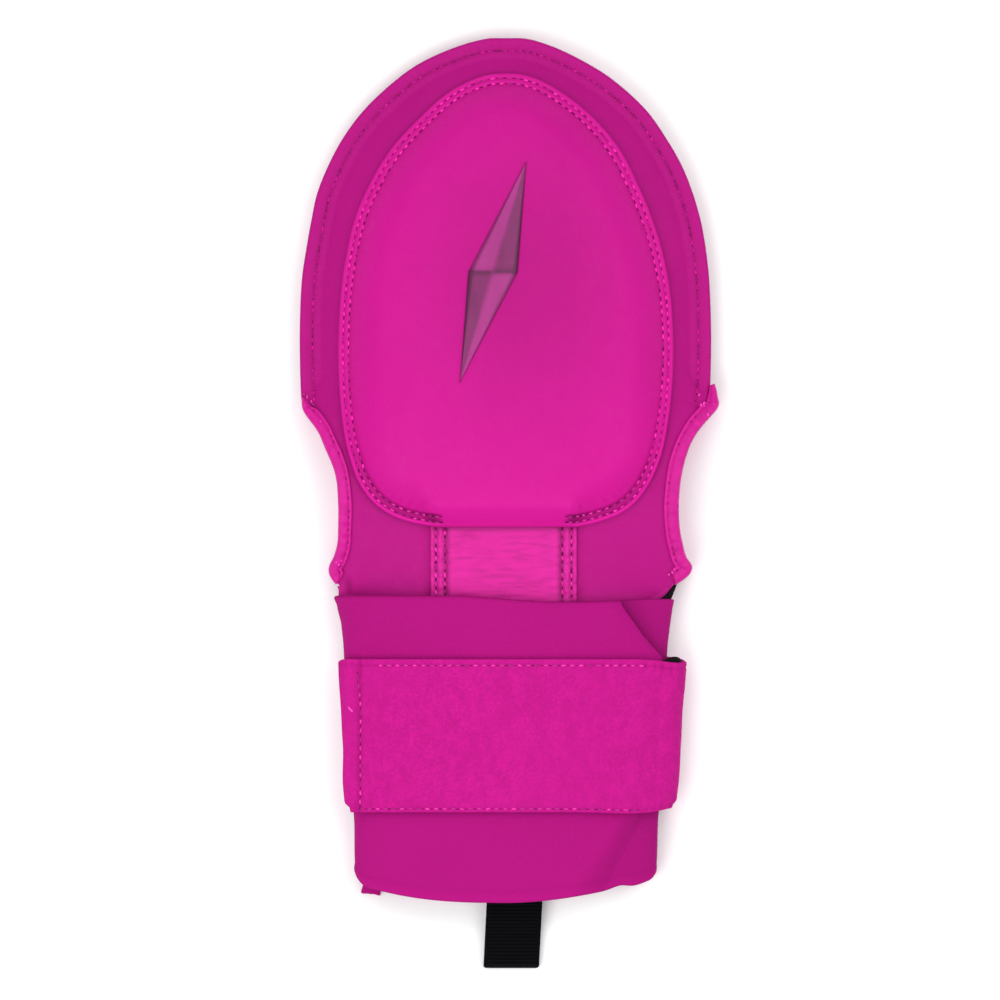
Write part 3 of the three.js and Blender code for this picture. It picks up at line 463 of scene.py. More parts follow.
def strap_skin(extra):
    """The strap's skin over (angle, share down), outside the sleeve."""
    def skin(angle, share):
        stand = strap_stand_off(angle) + (extra(angle, share) if callable(extra) else extra)
        y = STRAP_TOP - STRAP_WIDTH * share
        x, z = cuff_point(y, angle, stand)
        # The lower left corner is cut off, and the right edge leans in toward its foot
        foot, end = ease((share - 0.93) / 0.07), ease((angle - 2.7) / 0.2)
        cut = 3.0 * foot * ease((angle - 2.88) / 0.1)
        x = x + end * (cut - 0.6 * ease((share - 0.55) / 0.3))
        x = x - bell(angle, 0, 0.5) * (0.8 * share ** 2 + 1.2 * foot)
        # The back and the right bend lie a little askew, and the upper left corner is round
        back = mix(0.9, 2.6, share) * (1 - ease(angle + 0.5))
        rise = 0.45 * share * ease((angle - 0.7) / 0.5)
        lean = 1.6 * bell(angle, 0.16, 0.3)
        y = y + back + rise - lean * (1 - share) * 0.95 + lean * share * 0.6
        y = y - roll((3.0 - angle) * 10, 1.4) * (1 - ease(share / 0.06))
        return np.stack([x, y, z], -1)
    return skin


def strap_x(angle, share):
    """Plan distance of the strap's face."""
    stand = strap_stand_off(angle) + STRAP_FACE + STRAP_WALL
    return cuff_point(STRAP_TOP - STRAP_WIDTH * share, angle, stand)[0]


def strap_seams(angle, share):
    """The strap's plan distance, distance inside its long edges and in its seam, and front."""
    edge = np.minimum(share, 1 - share) * STRAP_WIDTH
    front = (angle > 0) & (angle < math.pi)
    return strap_x(angle, share), edge, np.where(share > 0.5, 1.4, 2.2), front


def strap_relief(angle, share, pucker):
    """Relief of the loop cloth: raised end, sewn grooves, puckers, slack and creases."""
    x, edge, seam_at, front = strap_seams(angle, share)
    end = np.where(front, ease((STRAP_FOLD_X - x) / 1.2), 0)
    groove = np.where(front, 0.5 * bell(x, STRAP_FOLD_X, 0.8), 0)
    run = angle * STRAP_RUN
    seam = 0.32 * bell(edge, seam_at, 0.6) * (1 - ease((angle - 2.7) / 0.2))
    folds = pucker * waver(83, 4.0, run, share * 3) * bell(edge, 2.2, 2.2)
    slack = 0.2 * waver(85, 16, run * 0.8, share * 50)
    crease = 0.22 * waver(87, 7, run * 2.4, share * 20) * bell(x, STRAP_FOLD_X + 4, 5)
    return 0.55 * end - groove - seam + folds + slack + crease - roll(edge, 0.8) * 0.8


# Mesh making

def to_object(name, points, faces, tone=None):
    """A smooth mesh object from plan points in millimetres."""
    placed = (np.asarray(points, float).reshape(-1, 3) + (PLAN_SHIFT, 0, 0)) * METRES
    mesh = bpy.data.meshes.new(name)
    mesh.from_pydata(placed.tolist(), [], [list(map(int, f)) for f in faces])
    if tone is not None:
        attribute = mesh.attributes.new("tone", "FLOAT", "POINT")
        attribute.data.foreach_set("value", np.ravel(tone).astype(np.float32))
    mesh.update()
    mesh.polygons.foreach_set("use_smooth", [True] * len(mesh.polygons))
    obj = bpy.data.objects.new(name, mesh)
    bpy.context.scene.collection.objects.link(obj)
    return obj


def weld(obj):
    """Joins the points that lie on each other and turns the faces outward."""
    work = bmesh.new()
    work.from_mesh(obj.data)
    bmesh.ops.remove_doubles(work, verts=work.verts, dist=2e-6)
    bmesh.ops.dissolve_degenerate(work, edges=work.edges, dist=1e-7)
    bmesh.ops.recalc_face_normals(work, faces=work.faces)
    work.to_mesh(obj.data)
    work.free()
    obj.data.update()
    return obj


def grid_faces(rows, columns, start=0, flip=False, wrap=False):
    index = start + np.arange(rows * columns).reshape(rows, columns)
    if wrap:
        index = np.hstack([index, index[:, :1]])
    quads = np.stack([index[:-1, :-1], index[1:, :-1], index[1:, 1:], index[:-1, 1:]], -1)
    quads = quads.reshape(-1, 4)
    return quads[:, ::-1] if flip else quads


def closed_sheet(name, upper, lower, tone, ends=True, sides=True):
    """A closed sheet between two grids of points, with walls along its open borders."""
    rows, columns = upper.shape[:2]
    count = rows * columns
    faces = [*grid_faces(rows, columns), *grid_faces(rows, columns, count, True)]
    index = np.arange(count).reshape(rows, columns)
    borders = [index[:, 0], index[:, -1]] * sides + [index[0], index[-1]] * ends
    for line in borders:
        faces += [(a, b, b + count, a + count) for a, b in zip(line[:-1], line[1:])]
    points = np.vstack([upper.reshape(-1, 3), lower.reshape(-1, 3)])
    return weld(to_object(name, points, faces, np.tile(np.ravel(tone), 2)))


def tube(name, rings, tone):
    """A closed body through equal section rings with flat ends."""
    rows, columns = rings.shape[:2]
    faces = [*grid_faces(rows, columns, wrap=True), np.arange(columns)[::-1],
             np.arange(columns) + (rows - 1) * columns]
    return weld(to_object(name, rings.reshape(-1, 3), faces, tone))


def ring_grid(edge, rings, shape, spine):
    """Plan points in rings from an edge to a middle line, walked round the outline."""
    walk = np.vstack([side(edge, RIGHT), side(edge, LEFT)[:-1][::-1]])
    lowest, highest = (shape["low"] + shape["length"] * share for share in spine)
    inner = np.stack([np.full(len(walk), shape["middle"]),
                      np.clip(walk[:, 1], lowest, highest)], 1)
    full = np.linalg.norm(inner - walk, axis=1)
    share = np.append(rings, 0)[None, :] / np.maximum(full, 1e-6)[:, None]
    share[:, -1] = 1
    share = np.minimum(np.maximum.accumulate(share, axis=1), 1)
    return walk[:, None] + (inner - walk)[:, None] * share[..., None]


def lifted(grid, z):
    return np.concatenate([grid, z[..., None]], -1)


def close_rows(count, low=0.0, high=1.0):
    """Values between two ends, with close rows at both."""
    ends = np.array([0, 0.0015, 0.003, 0.0045, 0.006])
    inner = 0.007 + 0.986 * np.linspace(0, 1, count)
    return low + (high - low) * np.concatenate([ends, inner, 1 - ends[::-1]])


# Lines that stitches follow

def line_inside(chain, distance):
    """The chain moved to its left by a distance, with even steps."""
    step = unit(np.gradient(chain, axis=0))
    moved = chain + np.stack([-step[:, 1], step[:, 0]], 1) * distance
    at = run_stations(moved)
    return sampled(moved, at, np.linspace(0, at[-1], max(8, int(at[-1] / 0.6))))


def on_field(line, height):
    """Points and normals of a plan line laid on a height."""
    x, y = line[:, 0], line[:, 1]
    z = height(x, y)
    dx = (height(x + 0.1, y) - height(x - 0.1, y)) / 0.2
    dy = (height(x, y + 0.1) - height(x, y - 0.1)) / 0.2
    return np.stack([x, y, z], 1), unit(np.stack([-dx, -dy, np.ones_like(dx)], 1))


def on_skin(skin, u, v):
    """Points and upward normals of a line on a skin that takes two coordinates."""
    here = skin(u, v)
    normal = unit(np.cross(skin(u + 0.01, v) - here, skin(u, v + 0.002) - here))
    return here, normal * np.sign(normal[:, 2:3])


def threads(name, lines, radius, pitch, share, lift, weave=0.0):
    """Short bowed stitches along lines of points and normals, as one mesh.

    Share is how much of the pitch a stitch covers, lift how far it stands out in thread
    radii and weave how far it slants.
    """
    long, sides = 7, 6
    points, tones = [], []
    t = np.linspace(-0.5, 0.5, long)
    turn = np.arange(sides) * math.pi / (sides / 2)
    rng = np.random.default_rng(len(name))
    for line, normals in lines:
        at = run_stations(line)
        count = max(1, int(round(at[-1] / pitch)))
        step = at[-1] / count
        centre = (np.arange(count) + 0.5) * step
        reach = share * rng.uniform(0.82, 1.15, count)
        station = centre[:, None] + t[None, :] * step * reach[:, None]
        p, n = sampled(line, at, station), unit(sampled(normals, at, station))
        across = np.cross(n, unit(np.gradient(p, axis=1)))
        bow = radius * (lift - 2.6 * abs(2 * t) ** 3)
        slant = (weave + rng.normal(0, 0.10, count))[:, None] * 2 * t
        p = p + n * bow[None, :, None] + across * slant[..., None]
        tones.append(np.repeat(rng.choice([-0.9, -0.5, -0.1, 0.3, 1.0], count), long * sides))
        size = radius * (1 - 0.4 * abs(2 * t) ** 4)
        rings = (p[:, :, None] + n[:, :, None] * (np.cos(turn) * size[:, None])[None, ..., None]
                 + across[:, :, None] * (np.sin(turn) * size[:, None])[None, ..., None])
        points.append(rings.reshape(-1, 3))
    points = np.vstack(points)
    stitch = [*grid_faces(long, sides, wrap=True), np.arange(sides)[::-1],
              np.arange(sides) + (long - 1) * sides]
    faces = [face + start for start in range(0, len(points), long * sides) for face in stitch]
    return to_object(name, points, faces, np.concatenate(tones))


def needle_hole_shade(name, lines, radius, pitch, long=1.25, lift=0.05):
    """Small dark discs of painted shade in the needle holes where the thread goes in, between the
    stitches.
    """
    sides = 8
    points = []
    turn = (np.arange(sides) * math.pi / (sides / 2))[:, None]
    rng = np.random.default_rng(len(name) + 40)
    for line, normals in lines:
        at = run_stations(line)
        count = max(1, int(round(at[-1] / pitch)))
        station = np.arange(count + 1) * at[-1] / count
        p, n = sampled(line, at, station), sampled(normals, at, station)
        along = unit(sampled(line, at, station + 0.3) - sampled(line, at, station - 0.3))
        across = np.cross(n, along)
        wide = radius * rng.uniform(0.55, 1.2, count + 1)
        disc = along[:, None] * (np.cos(turn) * long) + across[:, None] * (np.sin(turn) * 0.8)
        points.append(((p + n * lift)[:, None] + wide[:, None, None] * disc).reshape(-1, 3))
    points = np.vstack(points)
    return to_object(name, points, np.arange(len(points)).reshape(-1, sides))


# Finishes

def times(colour, factor):
    return tuple(min(1.0, c * factor) for c in colour[:3])


class Finish:
    """A procedural material with a few shorthand ways to add nodes."""

    def __init__(self, name, colour, rough, sheen=0.0, specular=0.25):
        self.material = bpy.data.materials.new(name)
        self.material.use_nodes = True
        self.tree = self.material.node_tree
        self.shader = self.tree.nodes["Principled BSDF"]
        self.shader.inputs["Roughness"].default_value = rough
        self.shader.inputs["Specular IOR Level"].default_value = specular
        self.shader.inputs["Sheen Weight"].default_value = sheen
        self.shader.inputs["Sheen Roughness"].default_value = 0.5
        self.shader.inputs["Sheen Tint"].default_value = (*colour[:3], 1)
        self.shader.inputs["Base Color"].default_value = (*colour[:3], 1)
        self.base = tuple(colour[:3])
        self.place = self.node("ShaderNodeTexCoord").outputs["Object"]
        self.colour = None
        self.height = None

    def node(self, kind, **values):
        made = self.tree.nodes.new(kind)
        for key, value in values.items():
            setattr(made, key, value)
        return made

    def link(self, source, target):
        self.tree.links.new(source, target)

    def texture(self, kind, scale=(1, 1, 1), turn=0.0, values=(), **settings):
        """A texture node on the object, stretched and turned about the vertical."""
        mapping = self.node("ShaderNodeMapping")
        mapping.inputs["Scale"].default_value = scale
        mapping.inputs["Rotation"].default_value = (0, 0, turn)
        self.link(self.place, mapping.inputs["Vector"])
        made = self.node(kind, **settings)
        for key, value in values:
            made.inputs[key].default_value = value
        self.link(mapping.outputs["Vector"], made.inputs["Vector"])
        return made

    def noise(self, size, detail=3.0, scale=(1, 1, 1)):
        """Unevenness with grains of a size in metres."""
        values = (("Scale", 1 / size), ("Detail", detail), ("Roughness", 0.55))
        return self.texture("ShaderNodeTexNoise", scale, values=values).outputs["Fac"]

    def wave(self, size, turn=0.0, bend=0.0):
        """Parallel ribs of a pitch in metres."""
        values = (("Scale", 0.3142 / size), ("Distortion", bend), ("Detail", 1.0))
        return self.texture("ShaderNodeTexWave", turn=turn, values=values,
                            bands_direction="X").outputs["Fac"]

    def cells(self, size):
        """Pebbled grain of a size in metres."""
        values = (("Scale", 1 / size), ("Smoothness", 0.4))
        return self.texture("ShaderNodeTexVoronoi", values=values,
                            feature="SMOOTH_F1").outputs["Distance"]

    def calc(self, operation, a, b):
        made = self.node("ShaderNodeMath", operation=operation)
        self.link(a, made.inputs[0])
        self.link(b, made.inputs[1])
        return made.outputs[0]

    def spread(self, fac, low, high, to_low=0.0, to_high=1.0):
        made = self.node("ShaderNodeMapRange")
        for key, value in zip(("From Min", "From Max", "To Min", "To Max"),
                              (low, high, to_low, to_high)):
            made.inputs[key].default_value = value
        self.link(fac, made.inputs["Value"])
        return made.outputs["Result"]

    def tint(self, fac, other):
        """Mixes another colour in where the factor is high."""
        made = self.node("ShaderNodeMix", data_type="RGBA")
        self.link(fac, made.inputs["Factor"])
        made.inputs["A"].default_value = (*self.base, 1)
        if self.colour is not None:
            self.link(self.colour, made.inputs["A"])
        made.inputs["B"].default_value = (*other[:3], 1)
        self.colour = made.outputs["Result"]

    def shade(self, fac, low, high, at_low, at_high, factor):
        """Mixes in the base colour times a factor, by a share at a low and a high value."""
        self.tint(self.spread(fac, low, high, at_low, at_high), times(self.base, factor))

    def toned(self, light, dark, haze=0.0):
        """Lightens and darkens by factors where the mesh carries a tone, which holds the painted
        light and shade of most pieces and the random tones of the stitches.
        """
        tone = self.node("ShaderNodeAttribute", attribute_name="tone").outputs["Fac"]
        self.tint(self.spread(tone, 0, 1), mix(np.array(times(self.base, light)), 0.1, haze))
        self.shade(tone, 0, -1, 0.0, 1.0, dark)

    def bump(self, fac, strength, depth):
        """Relief of a depth in metres."""
        made = self.node("ShaderNodeBump")
        made.inputs["Strength"].default_value = strength
        made.inputs["Distance"].default_value = depth
        self.link(fac, made.inputs["Height"])
        if self.height is not None:
            self.link(self.height, made.inputs["Normal"])
        self.height = made.outputs["Normal"]

    def rough(self, fac, low, high):
        self.link(self.spread(fac, 0.3, 0.7, low, high), self.shader.inputs["Roughness"])

    def done(self):
        self.link(self.colour, self.shader.inputs["Base Color"])
        if self.height is not None:
            self.link(self.height, self.shader.inputs["Normal"])
        return self.material


def made_once(build):
    """Builds each named material once, and gives that one again on later calls."""
    def give(name, colour, **rest):
        return bpy.data.materials.get(name) or build(name, colour, **rest)
    return give


@made_once
def soft_leather(name, colour, grain, relief, rough, mottle=0.5):
    """Satin leather with a fine grain and soft cloudy wear."""
    f = Finish(name, colour, rough, specular=0.09)
    f.shade(f.noise(0.022), 0.42, 0.75, 0, mottle, 0.9)
    f.shade(f.noise(0.007), 0.52, 0.8, 0, mottle * 0.7, 1.08)
    f.shade(f.cells(grain), 0.35, 0.75, 0, 0.25, 0.8)
    # The painted highlights are hazed a little toward grey, as a painted gloss
    f.toned(1.45, 0.45, haze=0.06)
    f.bump(f.noise(grain * 0.9, 4), relief, 0.00012)
    f.bump(f.cells(grain * 1.6), relief * 0.7, 0.00010)
    f.rough(f.noise(0.004), rough - 0.06, rough + 0.08)
    return f.done()


@made_once
def creased_leather(name, colour):
    """Thin leather with close cross creases."""
    f = Finish(name, colour, 0.46, specular=0.12)
    crease = f.noise(0.0016, 4, (0.2, 1.3, 0.6))
    # The creases are painted darker in their hollows and lighter on their ridges, as painted shade
    # and highlight
    f.shade(crease, 0.36, 0.5, 0.6, 0, 0.72)
    f.shade(crease, 0.56, 0.72, 0, 0.4, 1.2)
    f.shade(f.noise(0.009), 0.45, 0.75, 0, 0.35, 0.8)
    f.toned(1.35, 0.42)
    f.bump(crease, 0.7, 0.0003)
    f.bump(f.noise(0.0005), 0.3, 0.0001)
    f.rough(f.noise(0.003), 0.4, 0.55)
    return f.done()


@made_once
def folded_tape(name, colour):
    """Smooth binding tape with small folds across it."""
    f = Finish(name, colour, 0.42, specular=0.12)
    f.shade(f.noise(0.0035), 0.42, 0.7, 0, 0.55, 0.76)
    f.shade(f.noise(0.0022), 0.55, 0.75, 0, 0.5, 1.25)
    f.toned(1.5, 0.4)
    f.bump(f.noise(0.0016, 4), 0.5, 0.0003)
    f.bump(f.noise(0.0004), 0.3, 0.0001)
    f.rough(f.noise(0.003), 0.36, 0.5)
    return f.done()


@made_once
def knit_cloth(name, colour):
    """Matte knit whose fine ribs run on the slant."""
    f = Finish(name, colour, 0.82, sheen=0.03, specular=0.06)
    rib = f.wave(0.0012, math.radians(38), 1.5)
    wale = f.wave(0.0009, math.radians(-52), 2.0)
    weave = f.calc("MULTIPLY", rib, wale)
    # Painted shade in the hollows of the weave
    f.shade(weave, 0.1, 0.6, 0.3, 0, 0.74)
    f.shade(f.noise(0.03), 0.42, 0.75, 0, 0.4, 0.87)
    f.shade(f.noise(0.0015, 2), 0.58, 0.8, 0, 0.35, 1.2)
    f.toned(1.35, 0.42)
    f.bump(weave, 0.5, 0.00018)
    f.bump(f.noise(0.0006), 0.35, 0.0001)
    return f.done()


@made_once
def loop_pile(name, colour):
    """Brushed loop cloth: a pile with flattened streaks, painted darker in its hollows and lighter
    on its tips, with broad uneven patches.
    """
    f = Finish(name, colour, 0.85, sheen=0.05, specular=0.06)
    patch = f.noise(0.0045, 4, (1.3, 0.8, 1))
    fuzz = f.noise(0.0009)
    # Painted shade in the hollows of the pile and painted highlight on its tips
    f.shade(patch, 0.4, 0.62, 0.6, 0, 0.8)
    f.shade(fuzz, 0.35, 0.55, 0.5, 0, 0.7)
    f.shade(fuzz, 0.55, 0.75, 0, 0.45, 1.22)
    f.shade(f.noise(0.035, 2), 0.45, 0.7, 0, 0.35, 0.9)
    f.toned(1.35, 0.42)
    f.bump(patch, 0.35, 0.0004)
    f.bump(fuzz, 0.6, 0.00025)
    return f.done()


@made_once
def black_cloth(name, colour):
    """Plain black lining cloth with a fine weave and a little lint."""
    lint = (0.12, 0.07, 0.1)
    f = Finish(name, colour, 0.8, sheen=0.03, specular=0.08)
    weave = f.calc("ADD", f.wave(0.0007, 0.0), f.wave(0.0007, math.pi / 2))
    # Painted highlight on the crests of the weave
    f.shade(weave, 0.8, 1.6, 0, 0.5, 2.2)
    f.tint(f.spread(f.noise(0.0011, 2), 0.66, 0.8, 0, 0.4), lint)
    f.toned(2.5, 0.4)
    f.bump(weave, 0.5, 0.00015)
    return f.done()


@made_once
def ribbed_webbing(name, colour):
    """Black webbing with close cross ribs, painted highlights along them and paler specks."""
    f = Finish(name, colour, 0.7, specular=0.02)
    yarn = f.wave(0.0009, 0.0, 1.0)
    # Painted highlight on the crests of the ribs
    f.shade(yarn, 0.55, 1.0, 0, 0.5, 2.4)
    f.shade(f.noise(0.0012), 0.6, 0.8, 0, 0.5, 3.0)
    f.toned(3.0, 0.4)
    f.bump(yarn, 0.5, 0.0002)
    f.rough(f.noise(0.002), 0.5, 0.72)
    return f.done()


@made_once
def twisted_thread(name, colour):
    """Bright sewing thread with a twist and a slight lustre."""
    f = Finish(name, colour, 0.42, sheen=0.05, specular=0.2)
    twist = f.wave(0.0003, math.radians(35))
    # Painted shade in the grooves of the twist
    f.shade(twist, 0.2, 0.8, 0.4, 0, 0.7)
    f.shade(f.noise(0.003, 2), 0.5, 0.75, 0, 0.5, 1.25)
    f.toned(1.3, 0.45)
    f.bump(twist, 0.4, 0.0001)
    return f.done()


@made_once
def raised_print(name, colour):
    """Slightly glossy raised print with a brushed grain."""
    f = Finish(name, colour, 0.36, specular=0.25)
    f.shade(f.noise(0.006, 3, (1, 0.4, 1)), 0.4, 0.7, 0, 0.6, 0.62)
    f.shade(f.noise(0.0011), 0.55, 0.8, 0, 0.4, 1.35)
    f.toned(1.7, 0.35)
    f.bump(f.noise(0.0005), 0.35, 0.0001)
    f.rough(f.noise(0.003), 0.3, 0.45)
    return f.done()


@made_once
def floor_paper(name, colour):
    """Plain pale backdrop paper with a very faint tooth."""
    f = Finish(name, colour, 0.9, specular=0.1)
    f.shade(f.noise(0.004, 2), 0.4, 0.7, 0, 0.1, 0.985)
    return f.done()


def blended_thread(name, first, second, share):
    """Thread in a colour between two others."""
    return twisted_thread(name, mix(np.array(first), np.array(second), share))


def dull_thread(colours):
    """The duller thread of the rim and the tape."""
    return blended_thread("mitt thread dull", colours.leather, colours.guard, 0.7)


def dress(obj, material, nodes=()):
    """Gives a piece its finish and its place on the body, and hides the solids that it stands for.
    """
    obj.data.materials.append(material)
    if nodes:
        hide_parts(*nodes)
    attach(obj, "root")
    return obj


def dress_hole_shade(marks, colours):
    """Gives the painted shade of the needle holes its dark finish."""
    dark = soft_leather("mitt needle marks", colours.mark, grain=0.0006, relief=0.2,
                        rough=0.8, mottle=0.1)
    dress(marks, dark)


# Settings

def size(name, default, description):
    return FloatProperty(name=name, description=description, default=default, min=0.0,
                         unit="LENGTH", precision=5)


def paint(name, red, green, blue, description):
    return FloatVectorProperty(name=name, description=description, subtype="COLOR", size=3,
                               min=0.0, max=1.0, default=(red, green, blue))


class MittSizes(bpy.types.PropertyGroup):
    thread: size("Thread radius", 0.00034, "Radius of the sewing thread")
    rim_pitch: size("Rim stitch pitch", 0.0028, "Pitch of the stitch round the fingers")
    guard_pitch: size("Guard stitch pitch", 0.0029, "Pitch of the two rows round the guard")
    strap_pitch: size("Strap stitch pitch", 0.0030, "Pitch of the stitch along the strap")
    rim_inset: size("Rim stitch inset", 0.0044, "Stitch distance inside the hand's outline")
    guard_outer: size("Guard outer row", 0.0017, "Outer stitch row inside the guard's edge")
    guard_inner: size("Guard inner row", 0.0036, "Inner stitch row inside the guard's edge")
    pucker: size("Pucker height", 0.00028, "Height of the small puckers beside the stitches")
    rib_pitch: size("Webbing rib pitch", 0.00125, "Pitch of the pull tab's cross ribs")
    puff_cap: size("Guard puff limit", 0.0012, "How far the padding may push the guard out")


class MittColours(bpy.types.PropertyGroup):
    leather: paint("Leather", 0.382, 0.0034, 0.176, "Leather of the hand panels")
    guard: paint("Guard leather", 0.520, 0.005, 0.237, "Leather over the padded guard")
    tongue: paint("Tongue leather", 0.590, 0.014, 0.272, "Creased leather of the tongue")
    tape: paint("Binding tape", 0.530, 0.008, 0.240, "Tape round the cutouts")
    knit: paint("Knit", 0.390, 0.0056, 0.178, "Knit of the cuff and its flap")
    strap: paint("Strap", 0.505, 0.0085, 0.228, "Loop cloth of the wrist strap")
    thread: paint("Thread", 0.820, 0.050, 0.430, "Sewing thread")
    # Colour of the painted shade in the needle holes
    mark: paint("Needle marks", 0.140, 0.002, 0.065, "Needle marks between the stitches")
    lining: paint("Lining", 0.006, 0.003, 0.005, "Black cloth inside the cuff and strap")
    webbing: paint("Webbing", 0.0022, 0.0022, 0.0028, "Black webbing of the pull tab")
    badge: paint("Badge", 0.260, 0.018, 0.150, "Raised plum print of the badge")
    floor: paint("Floor", 0.980, 0.980, 0.980, "Backdrop paper")


def settings():
    scene = bpy.context.scene
    return scene.mitt_sizes, scene.mitt_colours


def mm(value):
    return value * 1000


# Pieces

def hand_relief(x, y, rim_inset, pucker):
    """Leather relief of the hand panels, and the distance inside their rim."""
    d, s = chain_distance(x, y, RIM_LINE[::2])
    beside = bell(d, rim_inset, 3.0)
    groove = 0.32 * bell(d, rim_inset, 0.75)
    folds = pucker * np.sin(2 * math.pi * s / 2.8 + 1.5 * waver(3, 30, s)) * beside
    slack = 0.07 * waver(5, 30, x, y) * ease(d / 9) + 0.12 * pucker * waver(8, 5, x, y)
    return folds - groove + slack - roll(d, 0.9), d


class MITT_OT_hand(bpy.types.Operator):
    """Top and palm panels of the hand pocket, with their rim stitch"""

    bl_idname = "mitt.hand"
    bl_label = "Hand panels"

    def execute(self, context):
        sizes, colours = settings()
        rim_inset, pucker = mm(sizes.rim_inset), mm(sizes.pucker)
        grid = ring_grid(HAND_EDGE, HAND_RINGS, HAND, HAND_SPINE)
        x, y = grid[..., 0], grid[..., 1]
        relief, d = hand_relief(x, y, rim_inset, pucker)
        # Painted highlight along the rim's rounded edge and painted shade in the stitch groove
        tone = 0.10 * bell(d, 1.0, 1.2) - 0.3 * bell(d, rim_inset, 0.5)
        # The wings beside the tongue are painted paler, most of all near the cuff, as painted
        # light against the cuff's shade, and a painted fold shadow darkens the left one's foot
        lit_wing = ease((14 - y) / 26) * ease((abs(x - TONGUE_MIDDLE) - 26) / 3)
        tone = tone + lit_wing * (0.2 + 0.5 * ease((-25 - y) / 9))
        tone = tone - 0.9 * bell(x, -55.5, 1.3) * bell(y, -28.6, 2.4)
        leather = soft_leather("mitt leather", colours.leather, grain=0.0006, relief=0.5,
                               rough=0.56)

        lower = palm_bottom(x, y)
        settled = np.maximum(lower - relief * ease((lower - 0.3) / 1.5), 0.02)
        for name, top, bottom in (("hand_panel", hand_top(x, y) + relief, hand_bottom(x, y)),
                                  ("palm_panel", palm_top(x, y), settled)):
            panel = closed_sheet(name + "_leather", lifted(grid, top), lifted(grid, bottom),
                                 tone, sides=False)
            dress(panel, leather, [name])

        def relief_at(px, py):
            return hand_relief(px, py, rim_inset, pucker)[0]

        line = line_inside(RIM_LINE, -rim_inset)
        line = line[(line[:, 1] > CUTOUT_EDGE[-1, 0] - 3)]
        above = on_field(line, lambda px, py: hand_top(px, py) + relief_at(px, py))
        # The palm's stitch is laid upside down and then turned over
        below, normal = on_field(line, lambda px, py: relief_at(px, py) - palm_bottom(px, py))
        runs = [above, (below * (1, 1, -1), normal * (1, 1, -1))]
        pitch = mm(sizes.rim_pitch)
        dress(threads("hand_rim_stitch", runs, mm(sizes.thread), pitch,
                      share=0.74, lift=0.35),
              dull_thread(colours))
        dress_hole_shade(needle_hole_shade("hand_rim_marks", runs[:1], HOLE_SHADE_SIZE, pitch), colours)
        return {"FINISHED"}


def tape_rings(k, top, bottom, pucker):
    """Rounded U sections of a folded tape along one cutout."""
    full = np.vstack([side(TAPE_EDGE, k)[1:], TAPE_ENDS[k]])
    at = run_stations(full)
    full = smoothed(sampled(full, at, np.linspace(0, at[-1], 150)), 4)
    step = unit(np.gradient(full, axis=0))
    out = np.stack([step[:, 1], -step[:, 0]], 1) * (1 if k == RIGHT else -1)
    s = run_stations(full)
    narrow = 0.42 + 0.58 * ease((s[-1] - s) / 9) * ease(s / 3 + 0.35)
    narrow = narrow * (1 - 0.7 * rounded(np.minimum(s / 2.4, s[-1] - s + 0.15)))

    def at_depth(inward):
        return full - out * inward[:, None]

    leg_reach = (TAPE_REACH[k] + 0.12 * waver(21 + k, 14, s)) * narrow
    edge = at_depth(TAPE * narrow)
    rim, leg = at_depth(np.minimum(TAPE + TAPE_GAP, leg_reach * 0.6)), at_depth(leg_reach)
    fold = pucker * (0.7 * waver(41 + k, 3.2, s) + 0.25 * np.sin(s * 2.0))
    crown, foot = {}, {}
    for way, height in ((1, top), (-1, bottom)):
        crown[way] = height(rim[:, 0], rim[:, 1]) + way * TAPE_GAP
        foot[way] = height(leg[:, 0], leg[:, 1]) + way * 0.2
    rows = []

    def leg_rows(way, shares):
        for share in shares:
            arch = math.sin(math.pi * share)
            swell = 0.3 * arch ** 0.6 + fold * arch - 0.35 * bell(share, 0.3, 0.09)
            wall = TAPE * (0.62 if share == 0 else 1)
            base = mix(foot[way], crown[way], share) + way * wall
            rows.append((at_depth(mix(leg_reach, TAPE * narrow, share)), base + way * swell))

    shares = (0, 0.04, 0.1, 0.18, 0.24, 0.3, 0.36, 0.44, 0.6, 0.75, 0.88, 1)
    leg_rows(1, shares)
    middle, tall = (crown[1] + crown[-1]) / 2, (crown[1] - crown[-1]) / 2 + TAPE
    for a in np.radians(np.linspace(75, -75, 9)):
        rows.append((at_depth(TAPE * narrow * (1 - math.cos(a))), middle + tall * math.sin(a)))
    leg_rows(-1, shares[::-1])
    rows += [(leg, foot[-1]), (edge, crown[-1]), (edge, crown[1]), (leg, foot[1])]
    rings = np.stack([lifted(place, height) for place, height in rows], 1)
    rings[..., 2] = np.maximum(rings[..., 2], 0.05)
    return rings


